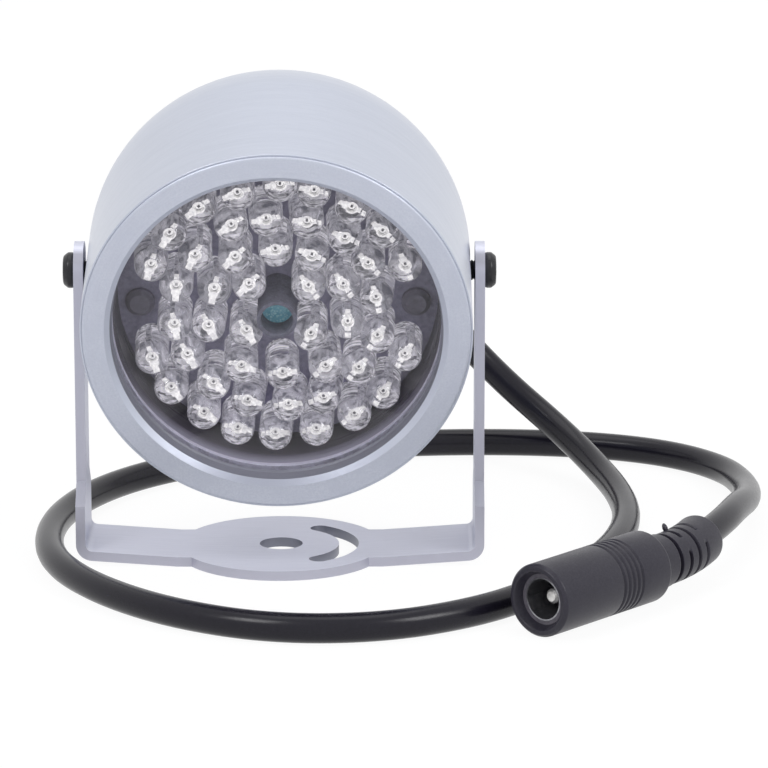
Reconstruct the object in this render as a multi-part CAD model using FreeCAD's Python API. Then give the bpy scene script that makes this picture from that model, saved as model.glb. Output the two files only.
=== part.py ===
import FreeCAD, Part
import math
import os

# Infrared illuminator: a round metal housing with rings of clear 5 mm diodes behind a flat window,
# hung on two pivot screws in a folded sheet bracket, with a lead that ends in a moulded power socket.
# Millimetres, +Z up. The origin is the centre of the bracket's hub, on the surface that it stands on.
# The lamp looks towards -Y.

Vector = FreeCAD.Vector
AXIS_X = Vector(1, 0, 0)
AXIS_Y = Vector(0, 1, 0)
AXIS_Z = Vector(0, 0, 1)

# Bracket, folded from one strip
sheet = 1.4
strip_width = 15.0
arm_clearance = 0.5
arm_width = 8.4
arm_shoulder = 9.0
arm_taper = 3.0
wing_slope = 4.0
fold_inner_radius = 1.0
hub_radius = 14.9
pivot_height = 42.5
pivot_clearance = 0.08

# Holes in the hub
centre_hole_radius = 3.15
slot_radius = 9.95
slot_width = 2.9
slot_half_arc = 55.5

# Lamp housing, measured back from its front face
tilt = 13.4
housing_shift = -0.1
housing_wall = 2.95
body_length = 48.3
dome_margin = 0.25
dome_steps = 6
pivot_depth = 20.9
mouth_lip = 0.6
mouth_edge = 0.3
rear_wall = 2.5
cavity_dome_steps = 3
seat_width = 2.3
spot_radius = 3.4
spot_depth = 0.4
spot_margin = 0.3

# Front ring, window, gasket and spacer
ring_thickness = 3.0
ring_chamfer = 1.1
ring_edge = 0.3
ring_gap = 0.25
window_thickness = 2.0
window_overlap = 1.4
window_gap = 0.2
gasket_thickness = 0.8
gasket_setback = 0.1
spacer_wall = 1.6
spacer_gap = 0.55
spacer_chamfer = 0.7
spacer_chamfer_length = 1.8
lens_gap = 0.9

# Circuit board and what stands on it
board_thickness = 1.6
board_gap = 0.3
board_screw_inset = 0.15
board_screw_drop = 1.5
board_screw_radius = 1.1
board_screw_length = 8.0
board_screw_head_radius = 2.1
board_screw_head = 1.3
board_screw_edge = 0.65
board_screw_play = 0.15
pillar_radius = 3.2
pillar_back = 26.0

# Diodes
diode_radius = 2.5
diode_height = 8.6
diode_sides = 8
diode_collar = 0.4
outer_ring_arc = 135.2
middle_ring_turn = -8.4
inner_ring_turn = -1.6
centre_nesting = 0.55
centre_gap = 0.15
centre_headings = (54, 126, 234, 306)

# Light sensor on the axis
sensor_radius = 2.25
sensor_thickness = 2.0
sensor_recess = 3.6
hood_wall = 0.55
hood_gap = 0.3
hood_play = 0.05

# Parts behind the board
resistor_radius = 1.1
resistor_length = 6.0
resistor_sides = 8
resistor_count = 8
transistor_width = 7.8
transistor_thickness = 2.8
transistor_length = 11.0
transistor_offset = 6.0
wire_radius = 0.7
wire_sides = 8
wire_spacing = 2.6

# Pivot screws
screw_radius = 1.5
screw_head_radius = 2.6
screw_head = 1.7
screw_head_edge = 0.7
screw_head_clearance = 0.05
screw_reach = 4.0
screw_bottom_gap = 0.4
drive_width = 0.8
drive_span = 3.2
drive_depth = 1.0

# Cable bush moulded on the lead at the rear
bush_bore_radius = 4.0
bush_flange_radius = 5.6
bush_flange = 1.8
bush_length = 4.2
bush_root_radius = 4.2
bush_tip_radius = 3.0
bush_inner_flange = 1.5
bush_inner_radius = 5.0

# Lead
cable_diameter = 4.2
cable_sides = 8
cable_lift = 0.02

# Power socket on the lead's end
plug_face_x = 36.1
plug_face_y = -42.7
plug_heading = 48.0
plug_radius = 5.2
plug_edge = 0.4
plug_length = 24.4
plug_shoulder = 1.2
plug_groove_start = 12.7
plug_groove_pitch = 1.0
plug_groove_width = 0.6
plug_groove_depth = 0.3
plug_groove_count = 5
plug_neck_radius = 3.9
plug_neck = 2.8
funnel_radius = 4.2
funnel_depth = 1.3
insert_radius = 3.6
contact_radius = 3.05
contact_wall = 0.2
socket_depth = 10.0
insert_back = 4.0
pin_radius = 1.05
pin_set_back = 3.0
pin_root = 2.0

# Strain relief behind the socket, bent a little by the lead
relief_radius = 3.75
relief_core_radius = 2.9
relief_bend_radius = 36.0
relief_roll = 18.0
relief_ring = 1.3
relief_groove = 0.75
relief_ring_count = 4
relief_end_ring = 4.3
relief_web = 2.6
relief_web_turn = 43.5

# The route between the straight ends is chosen by hand, to lie as the lead does.
exit_run = 6.0
tail_run = 7.6
route_middle = (
    (1.4, 45.7, 51.6),
    (4.5, 52.2, 49.2),
    (8.7, 56.7, 44.9),
    (13.3, 58.8, 39.2),
    (20.4, 58.2, 28.5),
    (25.9, 53.9, 21.3),
    (33.9, 51.6, 13.2),
    (42.6, 45.6, 6.9),
    (48.2, 35.8, 3.3),
    (51.0, 24.2, 2.3),
    (51.6, 11.6, 2.12),
    (49.4, -1.6, 2.12),
    (44.6, -14.6, 2.12),
    (37.4, -26.8, 2.12),
    (28.0, -37.6, 2.12),
    (14.6, -45.0, 2.12),
    (-0.6, -45.4, 2.12),
    (-14.6, -38.0, 2.12),
    (-25.6, -26.2, 2.12),
    (-32.8, -12.0, 2.12),
    (-34.6, 4.0, 2.12),
    (-31.8, 19.6, 2.12),
    (-24.4, 33.6, 2.12),
    (-12.4, 44.4, 2.12),
    (2.6, 51.8, 2.12),
    (19.0, 55.6, 2.12),
    (35.6, 56.2, 2.12),
    (50.0, 53.8, 2.12),
    (61.0, 48.2, 2.12),
    (68.2, 38.4, 2.3),
    (70.3, 26.4, 2.8),
    (69.6, 14.6, 4.2),
    (67.3, 4.6, 5.8),
)

# Derived sizes: the diodes' rings from the centre outwards, then what goes round them
hood_radius = sensor_radius + hood_play + hood_wall
centre_ring_radius = hood_radius + centre_gap + diode_radius
inner_ring_radius = centre_ring_radius + 2 * diode_radius - centre_nesting
middle_ring_radius = inner_ring_radius + 2 * diode_radius
outer_ring_radius = middle_ring_radius + 2 * diode_radius
spacer_bore = outer_ring_radius + diode_radius + spacer_gap
window_radius = spacer_bore + spacer_wall
ring_bore = window_radius - window_overlap
gasket_bore = ring_bore + gasket_setback
seat_radius = window_radius + window_gap
body_radius = seat_radius + housing_wall
arm_inner_x = body_radius + arm_clearance
arm_outer_x = arm_inner_x + sheet
mouth_radius = body_radius - mouth_lip
ring_radius = mouth_radius - ring_gap
window_back = ring_thickness + window_thickness
gasket_back = window_back + gasket_thickness
diode_tip = window_back + lens_gap
board_front = diode_tip + diode_height
board_back = board_front + board_thickness
dome_radius = body_radius - bush_bore_radius - dome_margin
cavity_radius = seat_radius - seat_width
cavity_back = body_length - rear_wall
cavity_dome_radius = cavity_radius - bush_inner_radius
board_radius = seat_radius - board_gap
board_screw_reach = outer_ring_radius - board_screw_inset
resistor_pitch_radius = board_screw_reach - pillar_radius - resistor_radius
bush_back = body_length + bush_flange + bush_length
plug_height = plug_radius + cable_lift
plug_back = plug_length + plug_neck
relief_pitch = relief_groove + relief_ring


def turned(outline):
    """Solid of revolution about Y of an outline of (radius, depth) corners."""
    corners = [Vector(radius, depth, 0) for radius, depth in outline]
    corners.append(corners[0])
    return Part.Face(Part.makePolygon(corners)).revolve(Vector(0, 0, 0), AXIS_Y, 360)


def rod(radius, length, base, direction):
    return Part.makeCylinder(radius, length, base, direction)


def rounded_corner(radius, depth, edge, steps):
    """Outline corners of a rounded outer edge, from the side face round to the end face."""
    corners = []
    for k in range(steps + 1):
        turn = math.radians(90.0 * k / steps)
        corners.append((radius - edge + edge * math.cos(turn), depth - edge + edge * math.sin(turn)))
    return corners


def in_lamp(shape):
    """Moves a piece from the lamp's own frame, with its front face at y = 0, to its tilted place."""
    placed = shape.copy()
    placed.translate(Vector(0, -pivot_depth, 0))
    placed.rotate(Vector(0, 0, 0), AXIS_X, tilt)
    placed.translate(Vector(housing_shift, 0, pivot_height))
    return placed


def lamp_point(depth):
    """A point of the lamp's axis, in the part's frame."""
    slope = math.radians(tilt)
    back = depth - pivot_depth
    return Vector(housing_shift, back * math.cos(slope), pivot_height + back * math.sin(slope))


def on_ring(radius, turn):
    """A place round the lamp's axis, with the turn in degrees clockwise from the top."""
    angle = math.radians(turn)
    return Vector(radius * math.sin(angle), 0, radius * math.cos(angle))


def cross_recess(top):
    """Cutter for a cross-shaped screw drive: two crossing slots sunk from a depth along Y."""
    corner = Vector(-drive_width / 2, top - drive_depth, -drive_span / 2)
    cross_corner = Vector(-drive_span / 2, top - drive_depth, -drive_width / 2)
    slot = Part.makeBox(drive_width, drive_depth, drive_span, corner)
    return slot.fuse(Part.makeBox(drive_span, drive_depth, drive_width, cross_corner))


def save(shape, name):
    shape.exportStep("parts/" + name + ".step")


def folded_strip():
    """The strip's section with both arms folded up, as wide as the strip."""
    rise = math.tan(math.radians(wing_slope))
    top = pivot_height + arm_width / 2
    outer_corner = rise * (arm_outer_x - hub_radius)
    inner_corner = sheet + rise * (arm_inner_x - hub_radius)
    right = [
        (hub_radius, 0),
        (arm_outer_x, outer_corner),
        (arm_outer_x, top),
        (arm_inner_x, top),
        (arm_inner_x, inner_corner),
        (hub_radius, sheet),
    ]
    left = [(-x, z) for x, z in reversed(right)]
    corners = [Vector(x, -strip_width / 2, z) for x, z in right + left]
    corners.append(corners[0])
    strip = Part.Face(Part.makePolygon(corners)).extrude(Vector(0, strip_width, 0))
    folds = {
        arm_outer_x: fold_inner_radius + sheet,
        arm_inner_x: fold_inner_radius,
    }
    heights = {arm_outer_x: outer_corner, arm_inner_x: inner_corner}
    for reach, radius in folds.items():
        edges = []
        for edge in strip.Edges:
            middle = edge.CenterOfMass
            if abs(abs(middle.x) - reach) < 1e-4 and abs(middle.z - heights[reach]) < 1e-4:
                edges.append(edge)
        strip = strip.makeFillet(radius, edges)
    return strip


def arm_outline():
    """Side view of the arms: full width at the foot, then narrower, with a round end at the pivot."""
    foot = strip_width / 2
    half = arm_width / 2
    step = arm_shoulder + arm_taper
    reach = arm_outer_x + sheet
    left_end = Vector(-reach, -half, pivot_height)
    right_end = Vector(-reach, half, pivot_height)
    corners = [
        left_end,
        Vector(-reach, -half, step),
        Vector(-reach, -foot, arm_shoulder),
        Vector(-reach, -foot, -sheet),
        Vector(-reach, foot, -sheet),
        Vector(-reach, foot, arm_shoulder),
        Vector(-reach, half, step),
        right_end,
    ]
    crown = Vector(-reach, 0, pivot_height + half)
    edges = [Part.LineSegment(a, b).toShape() for a, b in zip(corners, corners[1:])]
    edges.append(Part.Arc(right_end, crown, left_end).toShape())
    return Part.Face(Part.Wire(edges)).extrude(Vector(2 * reach, 0, 0))


def crescent():
    """Cutter for the crescent slot: an arc round the centre hole, with round ends."""
    height = 3 * sheet
    base = Vector(0, 0, -sheet)
    half = slot_width / 2
    slot = Part.makeCylinder(slot_radius + half, height, base, AXIS_Z, 2 * slot_half_arc)
    slot = slot.cut(rod(slot_radius - half, height, base, AXIS_Z))
    slot.rotate(Vector(0, 0, 0), AXIS_Z, -slot_half_arc)
    ends = []
    for turn in (-slot_half_arc, slot_half_arc):
        angle = math.radians(turn)
        centre = Vector(slot_radius * math.cos(angle), slot_radius * math.sin(angle), -sheet)
        ends.append(rod(half, height, centre, AXIS_Z))
    return slot.multiFuse(ends).removeSplitter()


def bracket():
    shape = folded_strip().common(arm_outline())
    shape = shape.fuse(rod(hub_radius, sheet, Vector(0, 0, 0), AXIS_Z)).removeSplitter()
    shape = shape.cut(rod(centre_hole_radius, 3 * sheet, Vector(0, 0, -sheet), AXIS_Z))
    shape = shape.cut(crescent())
    through = Vector(-arm_outer_x - sheet, 0, pivot_height)
    pivot_hole = rod(screw_radius + pivot_clearance, 2 * (arm_outer_x + sheet), through, AXIS_X)
    return shape.cut(pivot_hole)


def pan_screw(radius, length, head_radius, head, edge, steps):
    """A pan-head screw along Y: the shank ends at y = 0, and the head stands on it."""
    outline = [(0, -length), (radius, -length), (radius, 0), (head_radius, 0)]
    return turned(outline + rounded_corner(head_radius, head, edge, steps) + [(0, head)])


def pivot_screw_length():
    return arm_outer_x + screw_head_clearance - body_radius + spot_depth + screw_reach


def pivot_screws():
    """Both screws, driven from the outside of the arms into the housing's wall."""
    length = pivot_screw_length()
    screws = []
    for side in (-1, 1):
        screw = pan_screw(screw_radius, length, screw_head_radius, screw_head, screw_head_edge, 2)
        screw = screw.cut(cross_recess(screw_head))
        seat = Vector(side * (arm_outer_x + screw_head_clearance), 0, pivot_height)
        screw.Placement = FreeCAD.Placement(seat, FreeCAD.Rotation(AXIS_Y, Vector(side, 0, 0)))
        screws.append(screw)
    return Part.makeCompound(screws)


def screw_pillars():
    """The two cast pillars that the board's screws go into, along the left and right of the cavity."""
    pillars = []
    for side in (-1, 1):
        base = Vector(side * board_screw_reach, board_back, -board_screw_drop)
        pillars.append(rod(pillar_radius, pillar_back - board_back, base, AXIS_Y))
    return pillars


def housing():
    """The cast cup: a mouth for the front ring, a long seat for the window stack and a domed rear."""
    outline = [(mouth_radius, 0), (body_radius - mouth_edge, 0), (body_radius, mouth_edge)]
    outline += rounded_corner(body_radius, body_length, dome_radius, dome_steps)
    outline += [(bush_bore_radius, body_length), (bush_bore_radius, cavity_back)]
    outline += reversed(rounded_corner(cavity_radius, cavity_back, cavity_dome_radius, cavity_dome_steps))
    outline += [
        (cavity_radius, board_back),
        (seat_radius, board_back),
        (seat_radius, ring_thickness),
        (mouth_radius, ring_thickness),
    ]
    cup = turned(outline)
    for pillar in screw_pillars():
        cup = cup.fuse(pillar)
    cup = cup.removeSplitter()
    depth = board_screw_length - board_thickness + screw_bottom_gap
    for side in (-1, 1):
        mouth = Vector(side * board_screw_reach, board_back, -board_screw_drop)
        cup = cup.cut(rod(board_screw_radius, depth, mouth, AXIS_Y))
    return cut_pivot_seats(cup)


def cut_pivot_seats(cup):
    """A round spot face and a tapped hole on each side, where the pivot screws go in."""
    flat = body_radius - spot_depth
    for side in (-1, 1):
        outward = Vector(side, 0, 0)
        seat = Vector(side * flat, pivot_depth, 0)
        cup = cup.cut(rod(spot_radius, spot_depth + spot_margin, seat, outward))
        tip = side * (arm_outer_x + screw_head_clearance - pivot_screw_length()) - housing_shift
        bottom = Vector(tip - side * screw_bottom_gap, pivot_depth, 0)
        cup = cup.cut(rod(screw_radius, body_radius, bottom, outward))
    return cup


def front_ring():
    """The screwed-in ring that holds the window, with a bevel round its opening."""
    return turned([
        (ring_bore + ring_chamfer, 0),
        (ring_radius - ring_edge, 0),
        (ring_radius, ring_edge),
        (ring_radius, ring_thickness),
        (ring_bore, ring_thickness),
        (ring_bore, ring_chamfer),
    ])


def washer(outer, inner, front, back):
    return turned([(inner, front), (outer, front), (outer, back), (inner, back)])


def window():
    return rod(window_radius, window_thickness, Vector(0, ring_thickness, 0), AXIS_Y)


def spacer():
    """The sleeve between the gasket and the board, bevelled where the light leaves it."""
    return turned([
        (spacer_bore + spacer_chamfer, gasket_back),
        (window_radius, gasket_back),
        (window_radius, board_front),
        (spacer_bore, board_front),
        (spacer_bore, gasket_back + spacer_chamfer_length),
    ])


def board():
    disc = rod(board_radius, board_thickness, Vector(0, board_front, 0), AXIS_Y)
    for side in (-1, 1):
        place = Vector(side * board_screw_reach, board_front - board_thickness, -board_screw_drop)
        hole = rod(board_screw_radius + board_screw_play, 3 * board_thickness, place, AXIS_Y)
        disc = disc.cut(hole)
    return disc


def board_screws():
    pattern = pan_screw(board_screw_radius, board_screw_length, board_screw_head_radius,
                        board_screw_head, board_screw_edge, 1)
    pattern.rotate(Vector(0, 0, 0), AXIS_X, 180)
    screws = []
    for side in (-1, 1):
        screw = pattern.copy()
        screw.translate(Vector(side * board_screw_reach, board_front, -board_screw_drop))
        screws.append(screw)
    return Part.makeCompound(screws)


def flat_sided_turning(outline, sides):
    """Closed solid with flat sides round Y, through the (radius, depth) steps of the outline."""
    rings = []
    for radius, depth in outline:
        ring = []
        for k in range(sides):
            place = on_ring(radius, 360.0 * k / sides)
            ring.append(Vector(place.x, depth, place.z))
        rings.append(ring)
    faces = [Part.Face(Part.makePolygon(rings[0] + rings[0][:1]))]
    faces.append(Part.Face(Part.makePolygon(rings[-1] + rings[-1][:1])))
    for lower, upper in zip(rings, rings[1:]):
        for k in range(sides):
            n = (k + 1) % sides
            loop = [lower[k], lower[n], upper[n], upper[k], lower[k]]
            faces.append(Part.Face(Part.makePolygon(loop)))
    solid = Part.Solid(Part.Shell(faces))
    if solid.Volume < 0:
        solid.reverse()
    return solid


def diode():
    """One clear 5 mm diode, standing on the board's front at the axis: a barrel with a domed lens."""
    shoulder = diode_tip + diode_radius
    mid = math.radians(45)
    crown = math.radians(75)
    outline = [
        (diode_radius, board_front),
        (diode_radius, shoulder),
        (diode_radius * math.cos(mid), shoulder - diode_radius * math.sin(mid)),
        (diode_radius * math.cos(crown), diode_tip),
    ]
    return flat_sided_turning(outline, diode_sides)


def diode_ring(radius, turns):
    """Copies of the diode round the axis, one at each turn."""
    pattern = diode()
    diodes = []
    for turn in turns:
        copy = pattern.copy()
        copy.translate(on_ring(radius, turn))
        diodes.append(copy)
    return Part.makeCompound(diodes)


def least_step(radius):
    """The turn between two neighbours whose collars touch, in degrees."""
    return 2 * math.degrees(math.asin((diode_radius + diode_collar) / radius))


def outer_turns():
    """Two equal arcs, above and below, that leave the board's screws free at left and right."""
    gaps = int(outer_ring_arc / least_step(outer_ring_radius))
    upper = [(k / gaps - 0.5) * outer_ring_arc for k in range(gaps + 1)]
    return upper + [180 + turn for turn in upper]


def even_turns(count, start):
    return [start + 360.0 * k / count for k in range(count)]


def fitting_count(radius):
    """How many diodes fit round a whole ring."""
    return int(360 / least_step(radius))


def whole_ring(radius, start):
    return diode_ring(radius, even_turns(fitting_count(radius), start))


def centre_turns():
    """Four diodes in gaps of the inner ring, two at each side of the sensor."""
    step = 360 / fitting_count(inner_ring_radius)
    return [inner_ring_turn + (round(heading / step - 0.5) + 0.5) * step for heading in centre_headings]


def sensor_front():
    return window_back + hood_gap + sensor_recess


def sensor():
    """The light sensor's disc on its stem, which stands on the board."""
    front = sensor_front()
    disc = rod(sensor_radius, sensor_thickness, Vector(0, front, 0), AXIS_Y)
    stem_start = front + sensor_thickness
    stem = rod(sensor_radius / 2, board_front - stem_start, Vector(0, stem_start, 0), AXIS_Y)
    return disc.fuse(stem)


def sensor_hood():
    """The sleeve that keeps the diodes' light off the sensor."""
    return washer(hood_radius, sensor_radius + hood_play, window_back + hood_gap, board_front)


def resistors():
    """Series resistors that lie on the board's back, in a ring."""
    pattern = flat_sided_turning([(resistor_radius, 0), (resistor_radius, resistor_length)], resistor_sides)
    pattern.rotate(Vector(0, 0, 0), AXIS_Y, 180.0 / resistor_sides)
    pattern.translate(Vector(0, -resistor_length / 2, 0))
    pattern.rotate(Vector(0, 0, 0), AXIS_Z, 90)
    apothem = resistor_radius * math.cos(math.pi / resistor_sides)
    pattern.translate(Vector(0, board_back + apothem, resistor_pitch_radius))
    bodies = []
    for turn in even_turns(resistor_count, 180.0 / resistor_count):
        body = pattern.copy()
        body.rotate(Vector(0, 0, 0), AXIS_Y, turn)
        bodies.append(body)
    return Part.makeCompound(bodies)


def transistor():
    """The switching transistor, flat on the board's back under the axis."""
    corner = Vector(-transistor_width / 2, board_back, -transistor_offset - transistor_length / 2)
    return Part.makeBox(transistor_width, transistor_thickness, transistor_length, corner)


def inner_wire(side):
    """One of the two wires from the bush to the board."""
    ends = [(wire_radius, board_back), (wire_radius, cavity_back - bush_inner_flange)]
    wire = flat_sided_turning(ends, wire_sides)
    wire.translate(Vector(side * wire_spacing / 2, 0, wire_spacing))
    return wire


def cable_bush():
    """Rubber bush moulded on the lead: a flange on each side of the rear wall and a tapered tail."""
    inner_face = cavity_back - bush_inner_flange
    return turned([
        (0, inner_face),
        (bush_inner_radius, inner_face),
        (bush_inner_radius, cavity_back),
        (bush_bore_radius, cavity_back),
        (bush_bore_radius, body_length),
        (bush_flange_radius, body_length),
        (bush_flange_radius, body_length + bush_flange),
        (bush_root_radius, body_length + bush_flange),
        (bush_tip_radius, bush_back),
        (0, bush_back),
    ])


def in_plug(shape):
    """Moves a piece from the socket's own frame, with its face at y = 0, to where it lies."""
    placed = shape.copy()
    placed.rotate(Vector(0, 0, 0), AXIS_Z, plug_heading - 90)
    placed.translate(Vector(plug_face_x, plug_face_y, plug_height))
    return placed


def along_bend(length):
    """A point of the bend that the strain relief follows, and its direction, in the socket's frame."""
    roll = math.radians(relief_roll)
    angle = length / relief_bend_radius
    inward = Vector(-math.cos(roll), 0, math.sin(roll))
    point = AXIS_Y * (plug_back + relief_bend_radius * math.sin(angle))
    point += inward * (relief_bend_radius * (1 - math.cos(angle)))
    return point, AXIS_Y * math.cos(angle) + inward * math.sin(angle)


def relief_web_piece(start, direction, length):
    """The web that bridges one groove at both sides of the relief."""
    web = Part.makeBox(4 * relief_radius, length, relief_web, Vector(-2 * relief_radius, 0, -relief_web / 2))
    web.rotate(Vector(0, 0, 0), AXIS_Y, -relief_web_turn)
    web.Placement = FreeCAD.Placement(start, FreeCAD.Rotation(AXIS_Y, direction)).multiply(web.Placement)
    return web.common(rod(relief_radius, length, start, direction))


def relief_rings():
    """Where each ring of the strain relief starts along the bend, and its length; the last is the longest."""
    rings = []
    for k in range(relief_ring_count):
        last = k == relief_ring_count - 1
        rings.append((k * relief_pitch + relief_groove, relief_end_ring if last else relief_ring))
    return rings


def relief_pieces():
    """The relief's rings, the core that bends through them and a web in every second groove."""
    pieces = []
    joint = AXIS_Y * (plug_back - relief_ring / 2)
    for k, (start, length) in enumerate(relief_rings()):
        middle, direction = along_bend(start + length / 2)
        pieces.append(rod(relief_radius, length, middle - direction * (length / 2), direction))
        core = middle - joint
        pieces.append(rod(relief_core_radius, core.Length, joint, core))
        if k % 2:
            pieces.append(relief_web_piece(joint, core, core.Length))
        joint = middle
    return pieces


def plug_body():
    """The moulded socket body, its grooved grip, neck and strain relief, all in one piece."""
    outline = [
        (funnel_radius, 0),
        (plug_radius - plug_edge, 0),
        (plug_radius, plug_edge),
    ]
    for k in range(plug_groove_count):
        start = plug_groove_start + k * plug_groove_pitch
        outline.append((plug_radius, start))
        outline.append((plug_radius - plug_groove_depth, start + plug_groove_width / 2))
        outline.append((plug_radius, start + plug_groove_width))
    outline += [
        (plug_radius, plug_length - plug_shoulder),
        (plug_neck_radius, plug_length),
        (plug_neck_radius, plug_back),
        (0, plug_back),
        (0, funnel_depth + socket_depth + insert_back),
        (insert_radius, funnel_depth + socket_depth + insert_back),
        (insert_radius, funnel_depth),
    ]
    return turned(outline).multiFuse(relief_pieces()).removeSplitter()


def plug_insert():
    """The insulating core, which holds the contact sleeve and the pin."""
    back = funnel_depth + socket_depth
    core = turned([
        (contact_radius, funnel_depth),
        (insert_radius, funnel_depth),
        (insert_radius, back + insert_back),
        (0, back + insert_back),
        (0, back + pin_root),
        (pin_radius, back + pin_root),
        (pin_radius, back),
        (contact_radius, back),
    ])
    return core


def contact_sleeve():
    return washer(contact_radius, contact_radius - contact_wall, funnel_depth, funnel_depth + socket_depth)


def centre_pin():
    length = funnel_depth + socket_depth + pin_root - pin_set_back
    pin = rod(pin_radius, length, Vector(0, pin_set_back, 0), AXIS_Y)
    circles = [edge for edge in pin.Edges if isinstance(edge.Curve, Part.Circle)]
    tip = [edge for edge in circles if edge.CenterOfMass.y < pin_set_back + 0.01]
    return pin.makeChamfer(pin_radius / 3, tip)


def relief_end():
    """Where the lead leaves the last ring of the strain relief, and its direction, in the part's frame."""
    start, length = relief_rings()[-1]
    middle, direction = along_bend(start + length / 2)
    face = Part.Vertex(middle + direction * (length / 2))
    ahead = Part.Vertex(middle + direction * (length / 2 + 1))
    point = in_plug(face).Point
    return point, (in_plug(ahead).Point - point).normalize()


def route():
    """The lead's corner points, from the bush to the socket's strain relief."""
    start = lamp_point(bush_back)
    out = (lamp_point(bush_back + 1) - start).normalize()
    end, back = relief_end()
    middle = [Vector(*point) for point in route_middle]
    return [start, start + out * exit_run] + middle + [end + back * tail_run, end]


def tube(points, diameter, sides):
    """Straight runs joined by tangent arcs, swept with a flat-sided section."""
    edges = []
    radii = []
    at = points[0]
    for before, corner, after in zip(points, points[1:], points[2:]):
        to_start = (before - corner).normalize()
        to_end = (after - corner).normalize()
        half_turn = (math.pi - to_start.getAngle(to_end)) / 2
        trim = 0.45 * min(before.distanceToPoint(corner), after.distanceToPoint(corner))
        radius = trim / math.tan(half_turn)
        arc_start = corner + to_start * trim
        arc_end = corner + to_end * trim
        inward = (to_start + to_end).normalize()
        crown = corner + inward * (radius / math.cos(half_turn) - radius)
        edges.append(Part.LineSegment(at, arc_start).toShape())
        edges.append(Part.Arc(arc_start, crown, arc_end).toShape())
        radii.append(radius)
        at = arc_end
    edges.append(Part.LineSegment(at, points[-1]).toShape())
    path = Part.Wire(edges)
    rim = Part.makeCircle(diameter / 2, points[0], points[1] - points[0])
    corners = [rim.valueAt(2 * math.pi * k / sides) for k in range(sides)]
    section = Part.makePolygon(corners + corners[:1])
    body = path.makePipeShell([section], True, False)
    expected = path.Length * Part.Face(section).Area
    print("lead length", round(path.Length, 1), "volume", round(body.Volume, 1), "of", round(expected, 1))
    print("lead radii", [round(radius, 1) for radius in radii])
    return body


def main():
    os.makedirs("parts", exist_ok=True)
    save(bracket(), "mounting_bracket")
    save(pivot_screws(), "pivot_screws")
    lamp_pieces = {
        "housing_shell": housing(),
        "front_ring": front_ring(),
        "window_glass": window(),
        "window_gasket": washer(window_radius, gasket_bore, window_back, gasket_back),
        "spacer_sleeve": spacer(),
        "led_board": board(),
        "board_screws": board_screws(),
        "leds_outer_ring": diode_ring(outer_ring_radius, outer_turns()),
        "leds_middle_ring": whole_ring(middle_ring_radius, middle_ring_turn),
        "leds_inner_ring": whole_ring(inner_ring_radius, inner_ring_turn),
        "leds_centre": diode_ring(centre_ring_radius, centre_turns()),
        "light_sensor": sensor(),
        "sensor_hood": sensor_hood(),
        "board_resistors": resistors(),
        "switch_transistor": transistor(),
        "positive_wire": inner_wire(1),
        "negative_wire": inner_wire(-1),
        "cable_bush": cable_bush(),
    }
    for name, shape in lamp_pieces.items():
        save(in_lamp(shape), name)
    save(tube(route(), cable_diameter, cable_sides), "power_lead")
    socket_pieces = {
        "socket_body": plug_body(),
        "socket_insert": plug_insert(),
        "contact_sleeve": contact_sleeve(),
        "centre_pin": centre_pin(),
    }
    for name, shape in socket_pieces.items():
        save(in_plug(shape), name)


main()
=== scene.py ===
# %% [markdown]
# # Dressing an infrared illuminator
# The object is a small round night lamp. A turned metal housing holds rings of clear 5 mm diodes
# behind a flat window, and hangs on two screws in a folded sheet bracket. A black lead leaves its
# rear, loops round the bracket on the floor and ends in a moulded power socket. The solids come
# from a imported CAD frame, in metres, with +Z up. This lesson keeps them where they are, gives each
# surface its finish, and swaps in finer pieces where the solids are too plain.

# %% Load the frame
import math

import bmesh
import bpy
from mathutils import Matrix, Quaternion, Vector


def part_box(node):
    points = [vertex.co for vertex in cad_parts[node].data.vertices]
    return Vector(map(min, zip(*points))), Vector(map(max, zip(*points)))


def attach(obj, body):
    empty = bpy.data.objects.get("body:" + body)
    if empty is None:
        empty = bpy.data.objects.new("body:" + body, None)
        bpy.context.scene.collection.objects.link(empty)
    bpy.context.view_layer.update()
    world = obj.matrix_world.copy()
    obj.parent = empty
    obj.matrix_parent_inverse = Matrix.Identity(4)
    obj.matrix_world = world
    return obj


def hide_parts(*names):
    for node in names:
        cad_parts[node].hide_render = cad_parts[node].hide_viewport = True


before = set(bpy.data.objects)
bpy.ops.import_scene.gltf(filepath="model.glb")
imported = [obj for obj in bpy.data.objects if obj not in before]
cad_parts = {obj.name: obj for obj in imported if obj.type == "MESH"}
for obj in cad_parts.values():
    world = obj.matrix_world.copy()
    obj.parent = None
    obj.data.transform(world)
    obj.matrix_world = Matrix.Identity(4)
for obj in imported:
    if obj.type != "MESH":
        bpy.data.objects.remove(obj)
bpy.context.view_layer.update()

# %% [markdown]
# ## The camera
# The camera stands far off and looks down a little through a long lens, so the lamp shows almost no
# perspective. A camera can be set by hand or solved. This one was fitted to the bracket's corners
# and the ring's ellipse; here the solved numbers are turned into a place and a direction.

# %% Camera
MM = 0.001
LENS = 218.33
DISTANCE = 0.678318
LOOK_DOWN = math.radians(13.9232)
LOOK_ASIDE = math.radians(0.1113)
TARGET = Vector((15.095, 0.0, 25.487)) * MM


def add_to_scene(name, data):
    """A new object that holds the data, linked into the scene."""
    item = bpy.data.objects.new(name, data)
    bpy.context.scene.collection.objects.link(item)
    return item


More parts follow.
